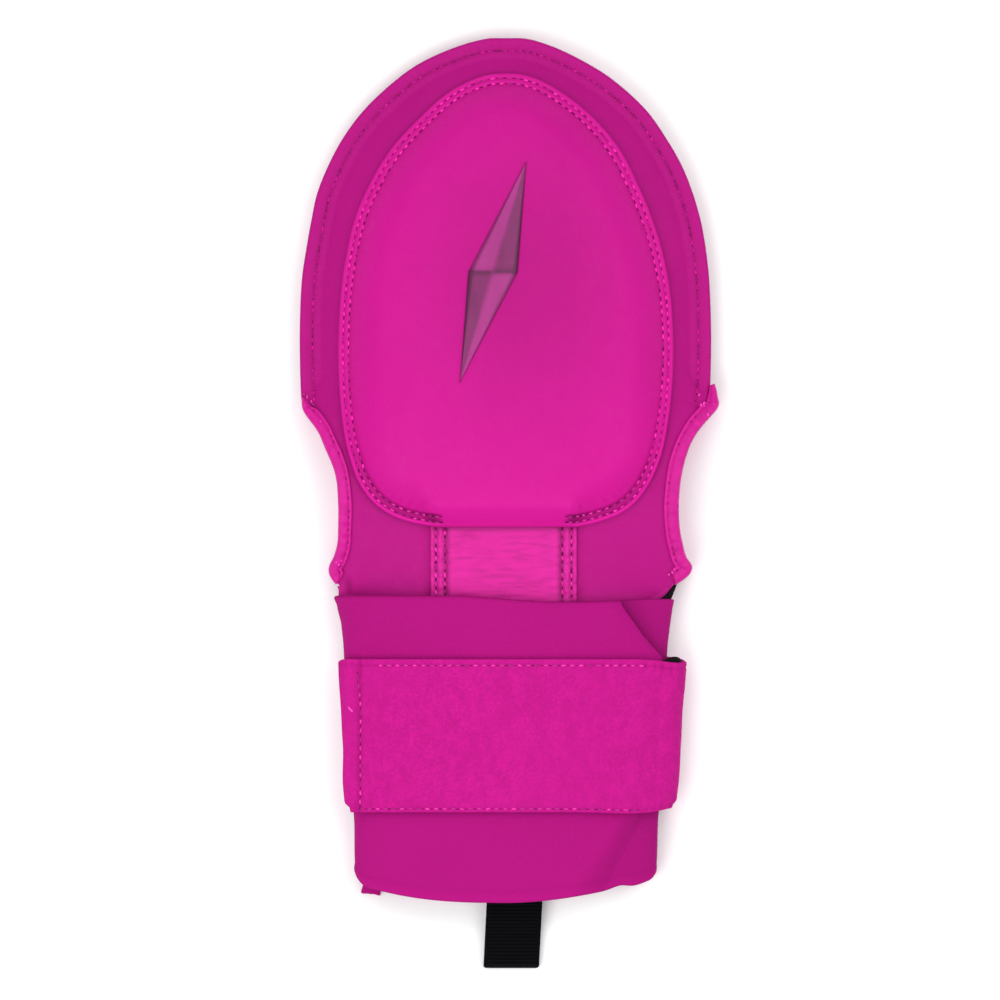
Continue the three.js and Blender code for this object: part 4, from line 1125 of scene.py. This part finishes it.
class MITT_OT_tape(bpy.types.Operator):
    """Folded tape round both cutouts of both hand panels, with its stitch and bar tacks"""

    bl_idname = "mitt.tape"
    bl_label = "Cutout tape"

    def execute(self, context):
        sizes, colours = settings()
        tape = folded_tape("mitt tape", colours.tape)
        radius, stitch_column = mm(sizes.thread), 5
        lines, tacks = [], []
        t = np.linspace(0, 1, 4)
        for k, word in SIDES.items():
            for part, top, bottom in (("hand", hand_top, hand_bottom),
                                      ("palm", palm_top, palm_bottom)):
                rings = tape_rings(k, top, bottom, mm(sizes.pucker))
                # Painted shade at the foot of the upper leg and in its stitch groove, and painted
                # highlights on the leg between them and over the fold
                tone = np.zeros(rings.shape[:2])
                tone[:, 0] = -0.3
                tone[:, 1:4] = 0.2
                tone[:, 4:7] = (-0.1, -0.3, -0.1)
                tone[:, 9:16] = 0.05
                name = f"{part}_binding_{word}"
                dress(tube(name + "_tape", rings, tone), tape, [name])
                if part == "hand":
                    run = rings[4:-12, stitch_column]
                    lines.append((run, np.tile([0, 0, 1.0], (len(run), 1))))
            way = -1 if k == LEFT else 1
            for x, y, dx, dy in BAR_TACKS[k]:
                line = np.stack([HAND["middle"] + way * (x - dx * t), y + dy * t], 1)
                rise = 0.15 if y > TACKS_OFF_TAPE[k] else 1.4
                tacks.append(on_field(line, lambda px, py: hand_top(px, py) + rise))
        dress(threads("tape_stitch", lines, radius * 0.8, pitch=2.3, share=0.7, lift=0.4),
              dull_thread(colours))
        dress(threads("tape_bar_tacks", tacks, radius, pitch=3.0, share=0.9, lift=0.5),
              twisted_thread("mitt thread", colours.thread))
        return {"FINISHED"}


def swelling(grid, height, cap):
    """Lets the padding push a pinned cover out as cloth under pressure, and returns the
    push as a height over the plan, held below a cap in millimetres."""
    columns = list(range(10, grid.shape[1] - 1, 4)) + [grid.shape[1] - 1]
    flat, high = grid[::6][:, columns], height[::6][:, columns]
    start = lifted(flat, high).reshape(-1, 3)
    spots, which = np.unique(np.round(start, 3), axis=0, return_inverse=True)
    which = which.reshape(flat.shape[:2])
    ring = np.vstack([which, which[:1]])
    quads = np.stack([ring[:-1, :-1], ring[1:, :-1], ring[1:, 1:], ring[:-1, 1:]], -1)
    faces = [list(dict.fromkeys(q)) for q in quads.reshape(-1, 4).tolist()]
    obj = to_object("pad_cloth", spots, [f for f in faces if len(f) > 2])
    pins = obj.vertex_groups.new(name="pins")
    pins.add(np.unique(ring[:, 0]).tolist(), 1.0, "REPLACE")
    cloth = obj.modifiers.new("Cloth", "CLOTH")
    cloth.settings.vertex_group_mass = "pins"
    cloth.settings.use_pressure = True
    cloth.settings.uniform_pressure_force = CLOTH_PRESSURE
    cloth.settings.effector_weights.gravity = 0
    cloth.settings.tension_stiffness = CLOTH_STIFFNESS
    cloth.settings.compression_stiffness = CLOTH_STIFFNESS
    scene = bpy.context.scene
    cloth.point_cache.frame_start, cloth.point_cache.frame_end = 1, CLOTH_FRAMES
    for number in range(1, CLOTH_FRAMES + 1):
        scene.frame_set(number)
    moved = obj.evaluated_get(bpy.context.evaluated_depsgraph_get()).data
    push = mm(np.array([v.co[2] for v in moved.vertices])) - spots[:, 2]
    scene.frame_set(1)
    bpy.data.objects.remove(obj)
    if not np.isfinite(push).all() or abs(push).max() < 0.01:
        raise RuntimeError("the guard's padding did not swell")
    push = cap * (1 - np.exp(-np.clip(push, 0, 30) / cap))

    def plump(x, y):
        px, py = np.ravel(x), np.ravel(y)
        result = np.zeros(px.shape)
        batch = 2000
        for first in range(0, len(px), batch):
            part = slice(first, first + batch)
            far = ((px[part, None] - spots[None, :, 0]) ** 2
                   + (py[part, None] - spots[None, :, 1]) ** 2)
            weight = np.exp(-far / CLOTH_SPREAD**2) + 1e-12
            result[part] = (weight * push).sum(1) / weight.sum(1)
        d = chain_distance(px, py, GUARD_LINE[::4])[0]
        return (result * ease((d - 3.6) / 3)).reshape(np.shape(x))
    return plump


def guard_relief(x, y, sizes):
    """Relief of the guard's cover, and the distance inside its edge."""
    d, s = chain_distance(x, y, GUARD_LINE[::2])
    outer, inner, pucker = mm(sizes.guard_outer), mm(sizes.guard_inner), mm(sizes.pucker)
    bead = 0.55 * bell(d, 0.75, 0.7)
    groove = 0.4 * (bell(d, outer, 0.4) + bell(d, inner, 0.45))
    ridge = 0.25 * bell(d, (outer + inner) / 2, 0.4)
    folds = pucker * (np.sin(2 * math.pi * s / 4.2 + waver(12, 25, s)) * bell(d, inner + 2.2, 1.8)
                      + 0.8 * waver(15, 2.4, s) * bell(d, outer, 1.2))
    slack = 0.12 * waver(17, 18, x, y) * ease((d - 5) / 8)
    return sewn_share(x, y) * (bead - groove + ridge + folds) + slack - roll(d, 0.7), d


def guard_tone(x, y, d, inner):
    """Painted light and shade of the guard's cover: painted highlights on the edge bead and the
    lip's edge, painted shade in the stitched channel, and the light over its dome.
    """
    sewn = sewn_share(x, y)
    channel = ease((d - 1.0) / 0.6) * (1 - ease((d - 4.0) / 0.8))
    tone = sewn * (0.3 * bell(d, 0.55, 0.6) - 0.15 * bell(d, inner + 0.4, 0.5)
                   + channel * mix(0.1, -0.75, ease((35 - y) / 45)))
    tone = tone + (1 - sewn) * 0.3 * bell(d, 0.6, 0.6)
    # Painted shade in the channel where it ends beside the tongue
    tone = tone - 0.35 * channel * bell(abs(x - TONGUE_MIDDLE), 24.2, 2.0) * ease((4 - y) / 3)
    # Painted light: the cover is lit paler toward the wrist and on its upper right, and painted
    # shade dulls the crown
    crown = bell(x, 6, 34) * bell(y, 78, 48)
    low = ease((60 - y) / 55)
    tone = tone + 0.10 * low - 0.42 * crown + 0.06 * ease((x - 20) / 25) * ease(y / 60)
    # Painted highlight across the lower end over the lip, outside the sewn channel
    return tone + 0.2 * bell(y, GUARD["low"] + 3, 7) * (1 - channel * sewn)


class MITT_OT_guard(bpy.types.Operator):
    """Padded oval guard with its two stitched rows and free lower lip"""

    bl_idname = "mitt.guard"
    bl_label = "Hand guard"

    def execute(self, context):
        sizes, colours = settings()
        grid = ring_grid(GUARD_EDGE, GUARD_RINGS, GUARD, GUARD_SPINE)
        x, y = grid[..., 0], grid[..., 1]
        relief, d = guard_relief(x, y, sizes)
        high = guard_top(x, y, d)
        plump = swelling(grid[:-1], high[:-1], mm(sizes.puff_cap))
        upper = high + relief + plump(x, y)
        lower = np.minimum(guard_bottom(x, y), upper - 0.9)
        cover = closed_sheet("hand_guard_cover", lifted(grid, upper), lifted(grid, lower),
                             guard_tone(x, y, d, mm(sizes.guard_inner)), ends=False, sides=False)
        leather = soft_leather("guard leather", colours.guard, grain=0.0007, relief=0.4,
                               rough=0.5, mottle=0.4)
        dress(cover, leather, ["hand_guard"])

        def top(px, py):
            return guard_top(px, py) + guard_relief(px, py, sizes)[0] + plump(px, py)

        runs = []
        for distance in (mm(sizes.guard_outer), mm(sizes.guard_inner)):
            line = line_inside(GUARD_LINE, distance)
            line = line[sewn_share(line[:, 0], line[:, 1]) > 0.25]
            # The run starts after the gap that the free lip leaves
            start = np.argmax(np.linalg.norm(np.diff(line, axis=0), axis=1))
            if np.linalg.norm(line[start + 1] - line[start]) > 2:
                line = np.roll(line, -start - 1, axis=0)
            runs.append(on_field(line, top))
        pitch = mm(sizes.guard_pitch)
        dress(threads("guard_stitch", runs, mm(sizes.thread) * 0.95, pitch,
                      share=0.62, lift=0.3),
              blended_thread("guard thread", colours.guard, colours.thread, 0.55))
        marks = needle_hole_shade("guard_marks", runs, 0.46, pitch, long=1.5, lift=0.14)
        dress_hole_shade(marks, colours)
        return {"FINISHED"}


class MITT_OT_badge(bpy.types.Operator):
    """Plain faceted lozenge on the guard's crown"""

    bl_idname = "mitt.badge"
    bl_label = "Badge"

    def execute(self, context):
        _, colours = settings()
        along, across = np.meshgrid(np.linspace(-1, 1, 81), np.linspace(-1, 1, 17), indexing="ij")
        half = BADGE_HALF * np.maximum(0.02, 1 - abs(along))
        y = BADGE_Y + BADGE_LONG * along
        x = BADGE_X + BADGE_LEAN * BADGE_LONG * along - across * half
        cover = BVHTree.FromObject(bpy.data.objects["hand_guard_cover"],
                                   context.evaluated_depsgraph_get())
        seat = mm(np.array([cover.ray_cast(((u + PLAN_SHIFT) * METRES, v * METRES, 0.1),
                                           (0, 0, -1))[0][2] for u, v in zip(x.flat, y.flat)]))
        seat = seat.reshape(x.shape)
        ridge = BADGE_RIDGE * (1 - abs(across)) * (1 - abs(along))
        edge = BADGE_EDGE - roll((1 - abs(across)) * half, 0.35)
        upper = np.stack([x, y, seat + BADGE_SEAT + edge + ridge], -1)
        lower = np.stack([x, y, seat + 0.02], -1)
        tone = np.where(across * np.sign(along) > 0, 0.38, -0.45) * (abs(across) > 0.02)
        tone = tone - 0.7 * (abs(across) > 0.86) - 0.5 * bell(along, 0, 0.03)
        badge = closed_sheet("guard_badge_print", upper, lower, tone)
        dress(badge, raised_print("badge print", colours.badge), ["guard_badge"])
        return {"FINISHED"}


class MITT_OT_tongue(bpy.types.Operator):
    """Creased flex strip between the guard and the cuff, with stitched flanks"""

    bl_idname = "mitt.tongue"
    bl_label = "Tongue"

    def execute(self, context):
        sizes, colours = settings()
        bottom, top = CUFF_TOP - TONGUE_UNDER_CUFF, GUARD["low"] + TONGUE_TUCK
        y, t = np.meshgrid(np.linspace(bottom, top, 110), np.linspace(-1, 1, 150), indexing="ij")
        x = TONGUE_MIDDLE + t * TONGUE_HALF

        def relief(px, py):
            u = abs(px - TONGUE_MIDDLE) / TONGUE_HALF
            flank = ease((u - 0.73) / 0.06)
            crease = 0.1 * waver(51, 2.6, px * 0.22, py) * (1 - flank) * (py < top - 1)
            seam = 0.4 * bell(u, INNER_SEAM, 0.028) + 0.35 * bell(u, OUTER_SEAM, 0.025)
            ridge = 0.3 * bell(u, SEAM_RIDGE, 0.03)
            folds = mm(sizes.pucker) * flank * waver(55, 2.4, py, px)
            return crease - seam + ridge + folds - roll((1 - u) * TONGUE_HALF, 0.8)

        lip_room = ease((GUARD["low"] + 1 - y) / 1.5)
        upper = tongue_top(x, y) + relief(x, y) * lip_room
        lower = hand_top(x, y) + PIECE_GAP
        u = abs(t)
        # Painted shade along the flanks' inner boundary, in the seam grooves and under the guard's
        # lip at the top, painted highlights on the seam ridge, the outer edges and just inside the
        # flanks, and the flanks darker in uneven patches
        tone = (-0.5 * bell(u, 0.765, 0.035) - 0.4 * bell(u, INNER_SEAM, 0.025)
                - 0.4 * bell(u, OUTER_SEAM, 0.028) + 0.2 * bell(u, SEAM_RIDGE, 0.02)
                + 0.45 * bell(u, 0.985, 0.018) + 0.12 * bell(u, 0.69, 0.02)
                - 0.28 * ease((u - 0.74) / 0.05) * waver(57, 5, y, t * 9) ** 2
                - 0.8 * ease((y - GUARD["low"] + 2.2) / 3))
        strip = closed_sheet("tongue_leather", np.stack([x, y, upper], -1),
                             np.stack([x, y, lower], -1), tone)
        dress(strip, creased_leather("tongue leather", colours.tongue),
              ["tongue"])
        runs = []
        ys = np.linspace(CUFF_TOP + 0.5, GUARD["low"] - 0.5, 50)
        for u in (-OUTER_SEAM, -INNER_SEAM, INNER_SEAM, OUTER_SEAM):
            line = np.stack([np.full_like(ys, TONGUE_MIDDLE + u * TONGUE_HALF), ys], 1)
            runs.append(on_field(line, lambda px, py: tongue_top(px, py) + relief(px, py)))
        pitch = 3.1
        dress(threads("tongue_stitch", runs, mm(sizes.thread), pitch,
                      share=0.62, lift=0.35, weave=0.22),
              blended_thread("tongue thread", colours.tongue, colours.thread, 0.5))
        marks = needle_hole_shade("tongue_marks", runs, 0.5, pitch, long=1.6, lift=0.12)
        dress_hole_shade(marks, colours)
        return {"FINISHED"}


class MITT_OT_cuff(bpy.types.Operator):
    """Knit sleeve of the wrist, its outer flap, its black lining and the loose seam end"""

    bl_idname = "mitt.cuff"
    bl_label = "Cuff"

    def execute(self, context):
        _, colours = settings()
        knit = knit_cloth("cuff knit", colours.knit)
        sleeve = self.sleeve()
        dress(sleeve, knit, ["cuff_sleeve"])
        lining = self.lining()
        dress(lining, black_cloth("black lining", colours.lining),
              ["cuff_lining"])
        flap = self.flap()
        dress(flap, knit, ["cuff_flap"])
        dress(self.tail(), knit, ["seam_tail"])
        return {"FINISHED"}

    @staticmethod
    def sleeve():
        down, angle = np.meshgrid(close_rows(120), np.linspace(0, 2 * math.pi, 241),
                                  indexing="ij")
        rolled = mouth_roll(down, CUFF_WALL)
        outer = cuff_skin(cuff_relief(angle, down) * 0.3 - rolled)(angle, down)
        inner = cuff_skin(rolled - CUFF_WALL)(angle, down)
        # The flap's edge throws a painted shade on the sleeve beside it, below the strap the
        # sleeve is painted a little darker all round as the shade of a soft crease, and the hem
        # band has a painted highlight with painted shade in its groove
        beside = flap_end(down) - angle
        below = ease((down - 0.55) / 0.1)
        shade = 0.42 * bell(beside, 0, 0.2) + 0.16 * bell(beside, 0.2, 0.45)
        tone = (0.14 * bell(down, 0.99, 0.012) - 0.08 * bell(down, 0.962, 0.005)
                - mix(shade * (beside > -0.1), 0.16, below))
        return closed_sheet("cuff_sleeve_knit", outer, inner, tone, sides=False)

    @staticmethod
    def lining():
        down, angle = np.meshgrid(close_rows(60), np.linspace(0, 2 * math.pi, 181), indexing="ij")
        # The lining stands a little out of the mouth's right corner
        turned = (angle + math.pi) % (2 * math.pi) - math.pi
        lip = 5.4 * bell(turned, 0.05, 0.2) * ease((0.06 - down) / 0.06)
        skins = []
        for depth in (CUFF_WALL + PIECE_GAP, CUFF_WALL + PIECE_GAP + LINING_WALL):
            skin = cuff_skin(-depth)(angle, 0.004 + 0.992 * down)
            skin[..., 1] += lip
            skin[..., 0] += 0.6 * lip
            skins.append(skin)
        return closed_sheet("cuff_lining_cloth", *skins, np.zeros(down.shape), sides=False)

    @staticmethod
    def flap():
        rows, columns = close_rows(120), close_rows(150)
        angle = np.array([mix(math.pi * 1.1, flap_end(d), columns) for d in rows])
        down = np.repeat(rows[:, None], len(columns), 1)
        number = np.arange(len(columns))
        fold = FLAP_WALL / 2 * rounded(np.minimum(number, number[::-1]) / 4.5)
        from_edge = abs(angle - angle[:, -1:])
        # From under the strap down the flap's edge thins out and only creases the sleeve
        below = ease((down - 0.55) / 0.1)
        thin = 1 - 0.97 * ease((0.3 - from_edge) / 0.3) * below
        relief = cuff_relief(angle, down)
        out = mix(0.3 * relief - mouth_roll(down, CUFF_WALL),
                  FLAP_GAP + FLAP_WALL + relief - mouth_roll(down, FLAP_WALL), thin)
        fold = fold[None, :] * mix(1, thin, below)
        into = np.minimum(FLAP_GAP + mouth_roll(down, FLAP_WALL), out - 0.5)
        lift = 0.15 * bell(from_edge, 0, 0.12) * (1 - below)
        upper = cuff_skin(out - fold + lift)(angle, down)
        lower = cuff_skin(into + fold)(angle, down)
        # Painted highlight on the hem band, and painted shade in the hem's groove, at the mouth's
        # top edge, along the flap's edge and over its crease below the strap
        tone = (0.16 * bell(down, 0.99, 0.012) - 0.08 * bell(down, 0.962, 0.005)
                - 0.25 * bell(down, 0.004, 0.006) - 0.12 * bell(from_edge, 0.03, 0.06)
                - 0.16 * below * ease((0.34 - from_edge) / 0.26))
        return closed_sheet("cuff_flap_knit", upper, lower, tone)

    @staticmethod
    def tail():
        top = CUFF_BOTTOM + TAIL_ABOVE_HEM
        t, u = np.meshgrid(np.linspace(0, 1, 14), np.linspace(-0.5, 0.5, 18), indexing="ij")
        x = TAIL_X + u * TAIL_WIDTH + 0.3 * np.sin(t * 5)
        y = top - t * TAIL_LENGTH - u * 0.9 + 0.25 * waver(71, 2.5, u * TAIL_WIDTH, t)
        _, half, _, _, _ = cuff_row(top)
        angle = math.pi + np.arccos(np.clip(abs(x - CUFF_MIDDLE) / half, 0, 0.98) ** 2)
        hung = cuff_point(np.full_like(x, top), angle, 0)[1] - 1.5
        z = hung * (1 - 0.8 * ease((t - 0.3) / 0.7)) + 0.1
        # The seam end is painted lighter throughout, as painted light against the cuff's shade
        # over it
        return closed_sheet("seam_tail_cloth", np.stack([x, y, z + TAIL_WALL], -1),
                            np.stack([x, y, z], -1), np.full(x.shape, 0.4))


class MITT_OT_strap(bpy.types.Operator):
    """Wide wrist strap in loop cloth, its black inside and its stitches"""

    bl_idname = "mitt.strap"
    bl_label = "Wrist strap"

    def execute(self, context):
        sizes, colours = settings()
        pucker = mm(sizes.pucker)
        angle, v = np.meshgrid(close_rows(300, STRAP_LOW, STRAP_HIGH), close_rows(60),
                               indexing="ij")
        near = np.minimum(angle - STRAP_LOW, STRAP_HIGH - angle) * STRAP_RUN
        tuck = STRAP_WALL / 2 * rounded(near / 0.8)
        relief = strap_relief(angle, v, pucker)
        outer = strap_skin(STRAP_FACE + STRAP_WALL + relief - tuck)(angle, v)
        inner = strap_skin(STRAP_FACE + tuck * 0.6)(angle, v)
        x, edge, seam_at, front = strap_seams(angle, v)
        # Painted shade in the seam grooves and in the end seam's groove, and painted highlights
        # along the edges and on the raised end beside it
        tone = (-0.22 * bell(edge, seam_at, 0.5) + 0.06 * bell(edge, 0.6, 0.7)
                - 0.35 * np.where(front, bell(x, STRAP_FOLD_X, 0.7), 0)
                + 0.2 * np.where(front, bell(x, STRAP_FOLD_X - 3.2, 1.6), 0))
        strap = closed_sheet("wrist_strap_cloth", outer, inner, tone)
        dress(strap, loop_pile("strap loop cloth", colours.strap),
              ["wrist_strap"])
        length = float(run_stations(outer[:, 30])[-1]) * 0.001

        angle, v = np.meshgrid(close_rows(200, STRAP_LOW + 0.06, STRAP_HIGH - 0.06),
                               np.linspace(0, 1, 50), indexing="ij")
        # The inside peeks out over the strap's upper edge at the right bend
        peek = bell(angle, 0.20, 0.17) * (1 - ease(v / 0.12))
        skins = [strap_skin(height)(angle, v) for height in (BACKING_WALL, 0.0)]
        for skin in skins:
            skin[..., 1] += 2.1 * peek + mix(-0.7, 0.7, v) * (1 - peek)
        backing = closed_sheet("strap_backing_cloth", *skins, np.zeros(v.shape))
        dress(backing, black_cloth("black lining", colours.lining),
              ["strap_backing"])
        self.stitches(sizes, colours)
        return {"FINISHED"}

    @staticmethod
    def stitches(sizes, colours):
        """Rows along both long edges and up the end seam, and a loose thread beside it."""
        skin = strap_skin(lambda a, v: STRAP_FACE + STRAP_WALL
                          + strap_relief(a, v, mm(sizes.pucker)))
        around = np.linspace(0.6, STRAP_HIGH, 600)

        def at_x(plan_x, share):
            """Angle at which the strap's face passes a plan distance."""
            return np.interp(-plan_x, -strap_x(around, share), around)

        runs = []
        for share, start in ((UPPER_ROW / STRAP_WIDTH, UPPER_ROW_X),
                             (1 - LOWER_ROW / STRAP_WIDTH, LOWER_ROW_X)):
            angle = np.linspace(at_x(start, share), 0.62, 260)
            runs.append(on_skin(skin, angle, np.full_like(angle, share)))
        up = np.linspace(*END_SEAM, 90)
        angle = np.array([at_x(mix(-52.5, -51.5, ease((v - 0.1) / 0.25)), v) for v in up])
        runs.append(on_skin(skin, angle, up))
        up = np.linspace(*THREAD_END, 4)
        angle = np.array([at_x(x, v) for x, v in zip(np.linspace(*THREAD_END_X, 4), up)])
        loose = [(skin(angle, up), np.tile([-0.4, 0, 0.9], (4, 1)))]
        pitch = mm(sizes.strap_pitch)
        dress(threads("strap_stitch", runs, mm(sizes.thread) * 0.95, pitch,
                      share=0.62, lift=0.4),
              blended_thread("strap thread", colours.strap, colours.thread, 0.6))
        dress(threads("strap_thread_end", loose, mm(sizes.thread) * 1.2, pitch,
                      share=0.9, lift=0.7),
              twisted_thread("thread end", colours.thread))
        dress_hole_shade(needle_hole_shade("strap_marks", runs, HOLE_SHADE_SIZE, pitch), colours)


class MITT_OT_pull_tab(bpy.types.Operator):
    """Folded loop of ribbed webbing at the wrist end"""

    bl_idname = "mitt.pull_tab"
    bl_label = "Pull tab"

    def execute(self, context):
        sizes, colours = settings()
        layer = TAB_WALL + PIECE_GAP
        bend = layer / 2
        in_cuff = CUFF_WALL + PIECE_GAP + LINING_WALL + PIECE_GAP + TAB_WALL / 2
        # Heights along the lower layer, then round the end and back over it
        lie = [(TAB_START, in_cuff), (CUFF_BOTTOM + 6, in_cuff), (CUFF_BOTTOM - 1, in_cuff),
               (CUFF_BOTTOM - 6, in_cuff * 0.72 + TAB_WALL * 0.14),
               (CUFF_BOTTOM - 11, TAB_WALL * 0.86), (TAB_END + TAB_WALL / 2 + bend, TAB_WALL / 2)]
        end_y, end_z = lie[-1]
        turns = np.radians(np.linspace(-75, 75, 11))
        fold = [(end_y - bend * math.cos(a), end_z + bend + bend * math.sin(a)) for a in turns]
        path = np.array(lie + fold + [(y, z + layer) for y, z in lie[::-1]])
        at = run_stations(path)
        even = np.linspace(0, at[-1], 520)
        path = smoothed(sampled(path, at, even), 12)
        step = unit(np.gradient(path, axis=0))
        rib = np.sin(2 * math.pi * even / mm(sizes.rib_pitch))
        u = np.linspace(-0.5, 0.5, 30)
        edge = (0.5 - abs(u)) * TAB_WIDTH
        ribbed = rib[:, None] * ease(edge / 1.6)[None, :]
        thick = TAB_WALL / 2 - roll(edge, 0.45)
        skins = []
        for way in (1, -1):
            reach = way * thick[None, :] + way * 0.13 * ribbed
            y = path[:, :1] + step[:, 1:] * reach
            z = path[:, 1:] - step[:, :1] * reach
            x = TAB_MIDDLE + (y - CUFF_BOTTOM) * 0.05 + u[None, :] * TAB_WIDTH
            skins.append(np.stack([x, y, np.maximum(z, 0.01)], -1))
        # The rib crests are painted lighter and the troughs darker, as painted highlight and shade
        tab = closed_sheet("pull_tab_webbing", *skins, 0.5 * ribbed)
        dress(tab, ribbed_webbing("tab webbing", colours.webbing), ["pull_tab"])
        return {"FINISHED"}


class MITT_OT_stage(bpy.types.Operator):
    """Pale floor, soft studio lights and the camera straight above"""

    bl_idname = "mitt.stage"
    bl_label = "Stage"

    def execute(self, context):
        _, colours = settings()
        scene = context.scene
        scene.view_settings.view_transform = "Standard"
        scene.view_settings.look = "None"

        mesh = bpy.data.meshes.new("floor")
        corners = ((-1, -1), (1, -1), (1, 1), (-1, 1))
        mesh.from_pydata([(x * FLOOR_REACH, y * FLOOR_REACH, -FLOOR_DROP) for x, y in corners],
                         [], [(0, 1, 2, 3)])
        floor = bpy.data.objects.new("floor", mesh)
        scene.collection.objects.link(floor)
        floor.data.materials.append(floor_paper("floor paper", colours.floor))

        world = bpy.data.worlds.new("studio")
        world.use_nodes = True
        background = world.node_tree.nodes["Background"]
        background.inputs["Color"].default_value = (1, 1, 1, 1)
        background.inputs["Strength"].default_value = WORLD_LIGHT
        scene.world = world
        for name, place, wide, power in LIGHTS:
            data = bpy.data.lights.new(name, "AREA")
            data.shape, data.size, data.energy = "DISK", wide, power
            light = bpy.data.objects.new(name, data)
            light.location = place
            scene.collection.objects.link(light)
            aim = -light.location.normalized()
            light.rotation_mode = "QUATERNION"
            light.rotation_quaternion = aim.to_track_quat("-Z", "Y")

        data = bpy.data.cameras.new("camera")
        data.type = "ORTHO"
        data.ortho_scale = VIEW_WIDTH
        camera = bpy.data.objects.new("camera", data)
        camera.location = CAMERA_PLACE
        scene.collection.objects.link(camera)
        scene.camera = camera
        return {"FINISHED"}


PIECES = ("hand", "tape", "guard", "badge", "tongue", "cuff", "strap", "pull_tab", "stage")


class MITT_PT_sidebar(bpy.types.Panel):
    """Buttons for the mitt's pieces, and its sizes and colours"""

    bl_idname = "MITT_PT_sidebar"
    bl_label = "Sliding Mitt"
    bl_space_type = "VIEW_3D"
    bl_region_type = "UI"
    bl_category = "Mitt"

    def draw(self, context):
        column = self.layout.column(align=True)
        for name in PIECES:
            column.operator(f"mitt.{name}")
        for group in (context.scene.mitt_sizes, context.scene.mitt_colours):
            box = self.layout.box()
            for key in group.__annotations__:
                box.prop(group, key)


CLASSES = (MittSizes, MittColours, MITT_OT_hand, MITT_OT_tape, MITT_OT_guard, MITT_OT_badge,
           MITT_OT_tongue, MITT_OT_cuff, MITT_OT_strap, MITT_OT_pull_tab, MITT_OT_stage,
           MITT_PT_sidebar)


def register():
    for cls in CLASSES:
        bpy.utils.register_class(cls)
    bpy.types.Scene.mitt_sizes = PointerProperty(type=MittSizes)
    bpy.types.Scene.mitt_colours = PointerProperty(type=MittColours)


def unregister():
    del bpy.types.Scene.mitt_colours
    del bpy.types.Scene.mitt_sizes
    for cls in reversed(CLASSES):
        bpy.utils.unregister_class(cls)


def main():
    register()
    for name in PIECES:
        getattr(bpy.ops.mitt, name)()


if __name__ == "__main__":
    main()
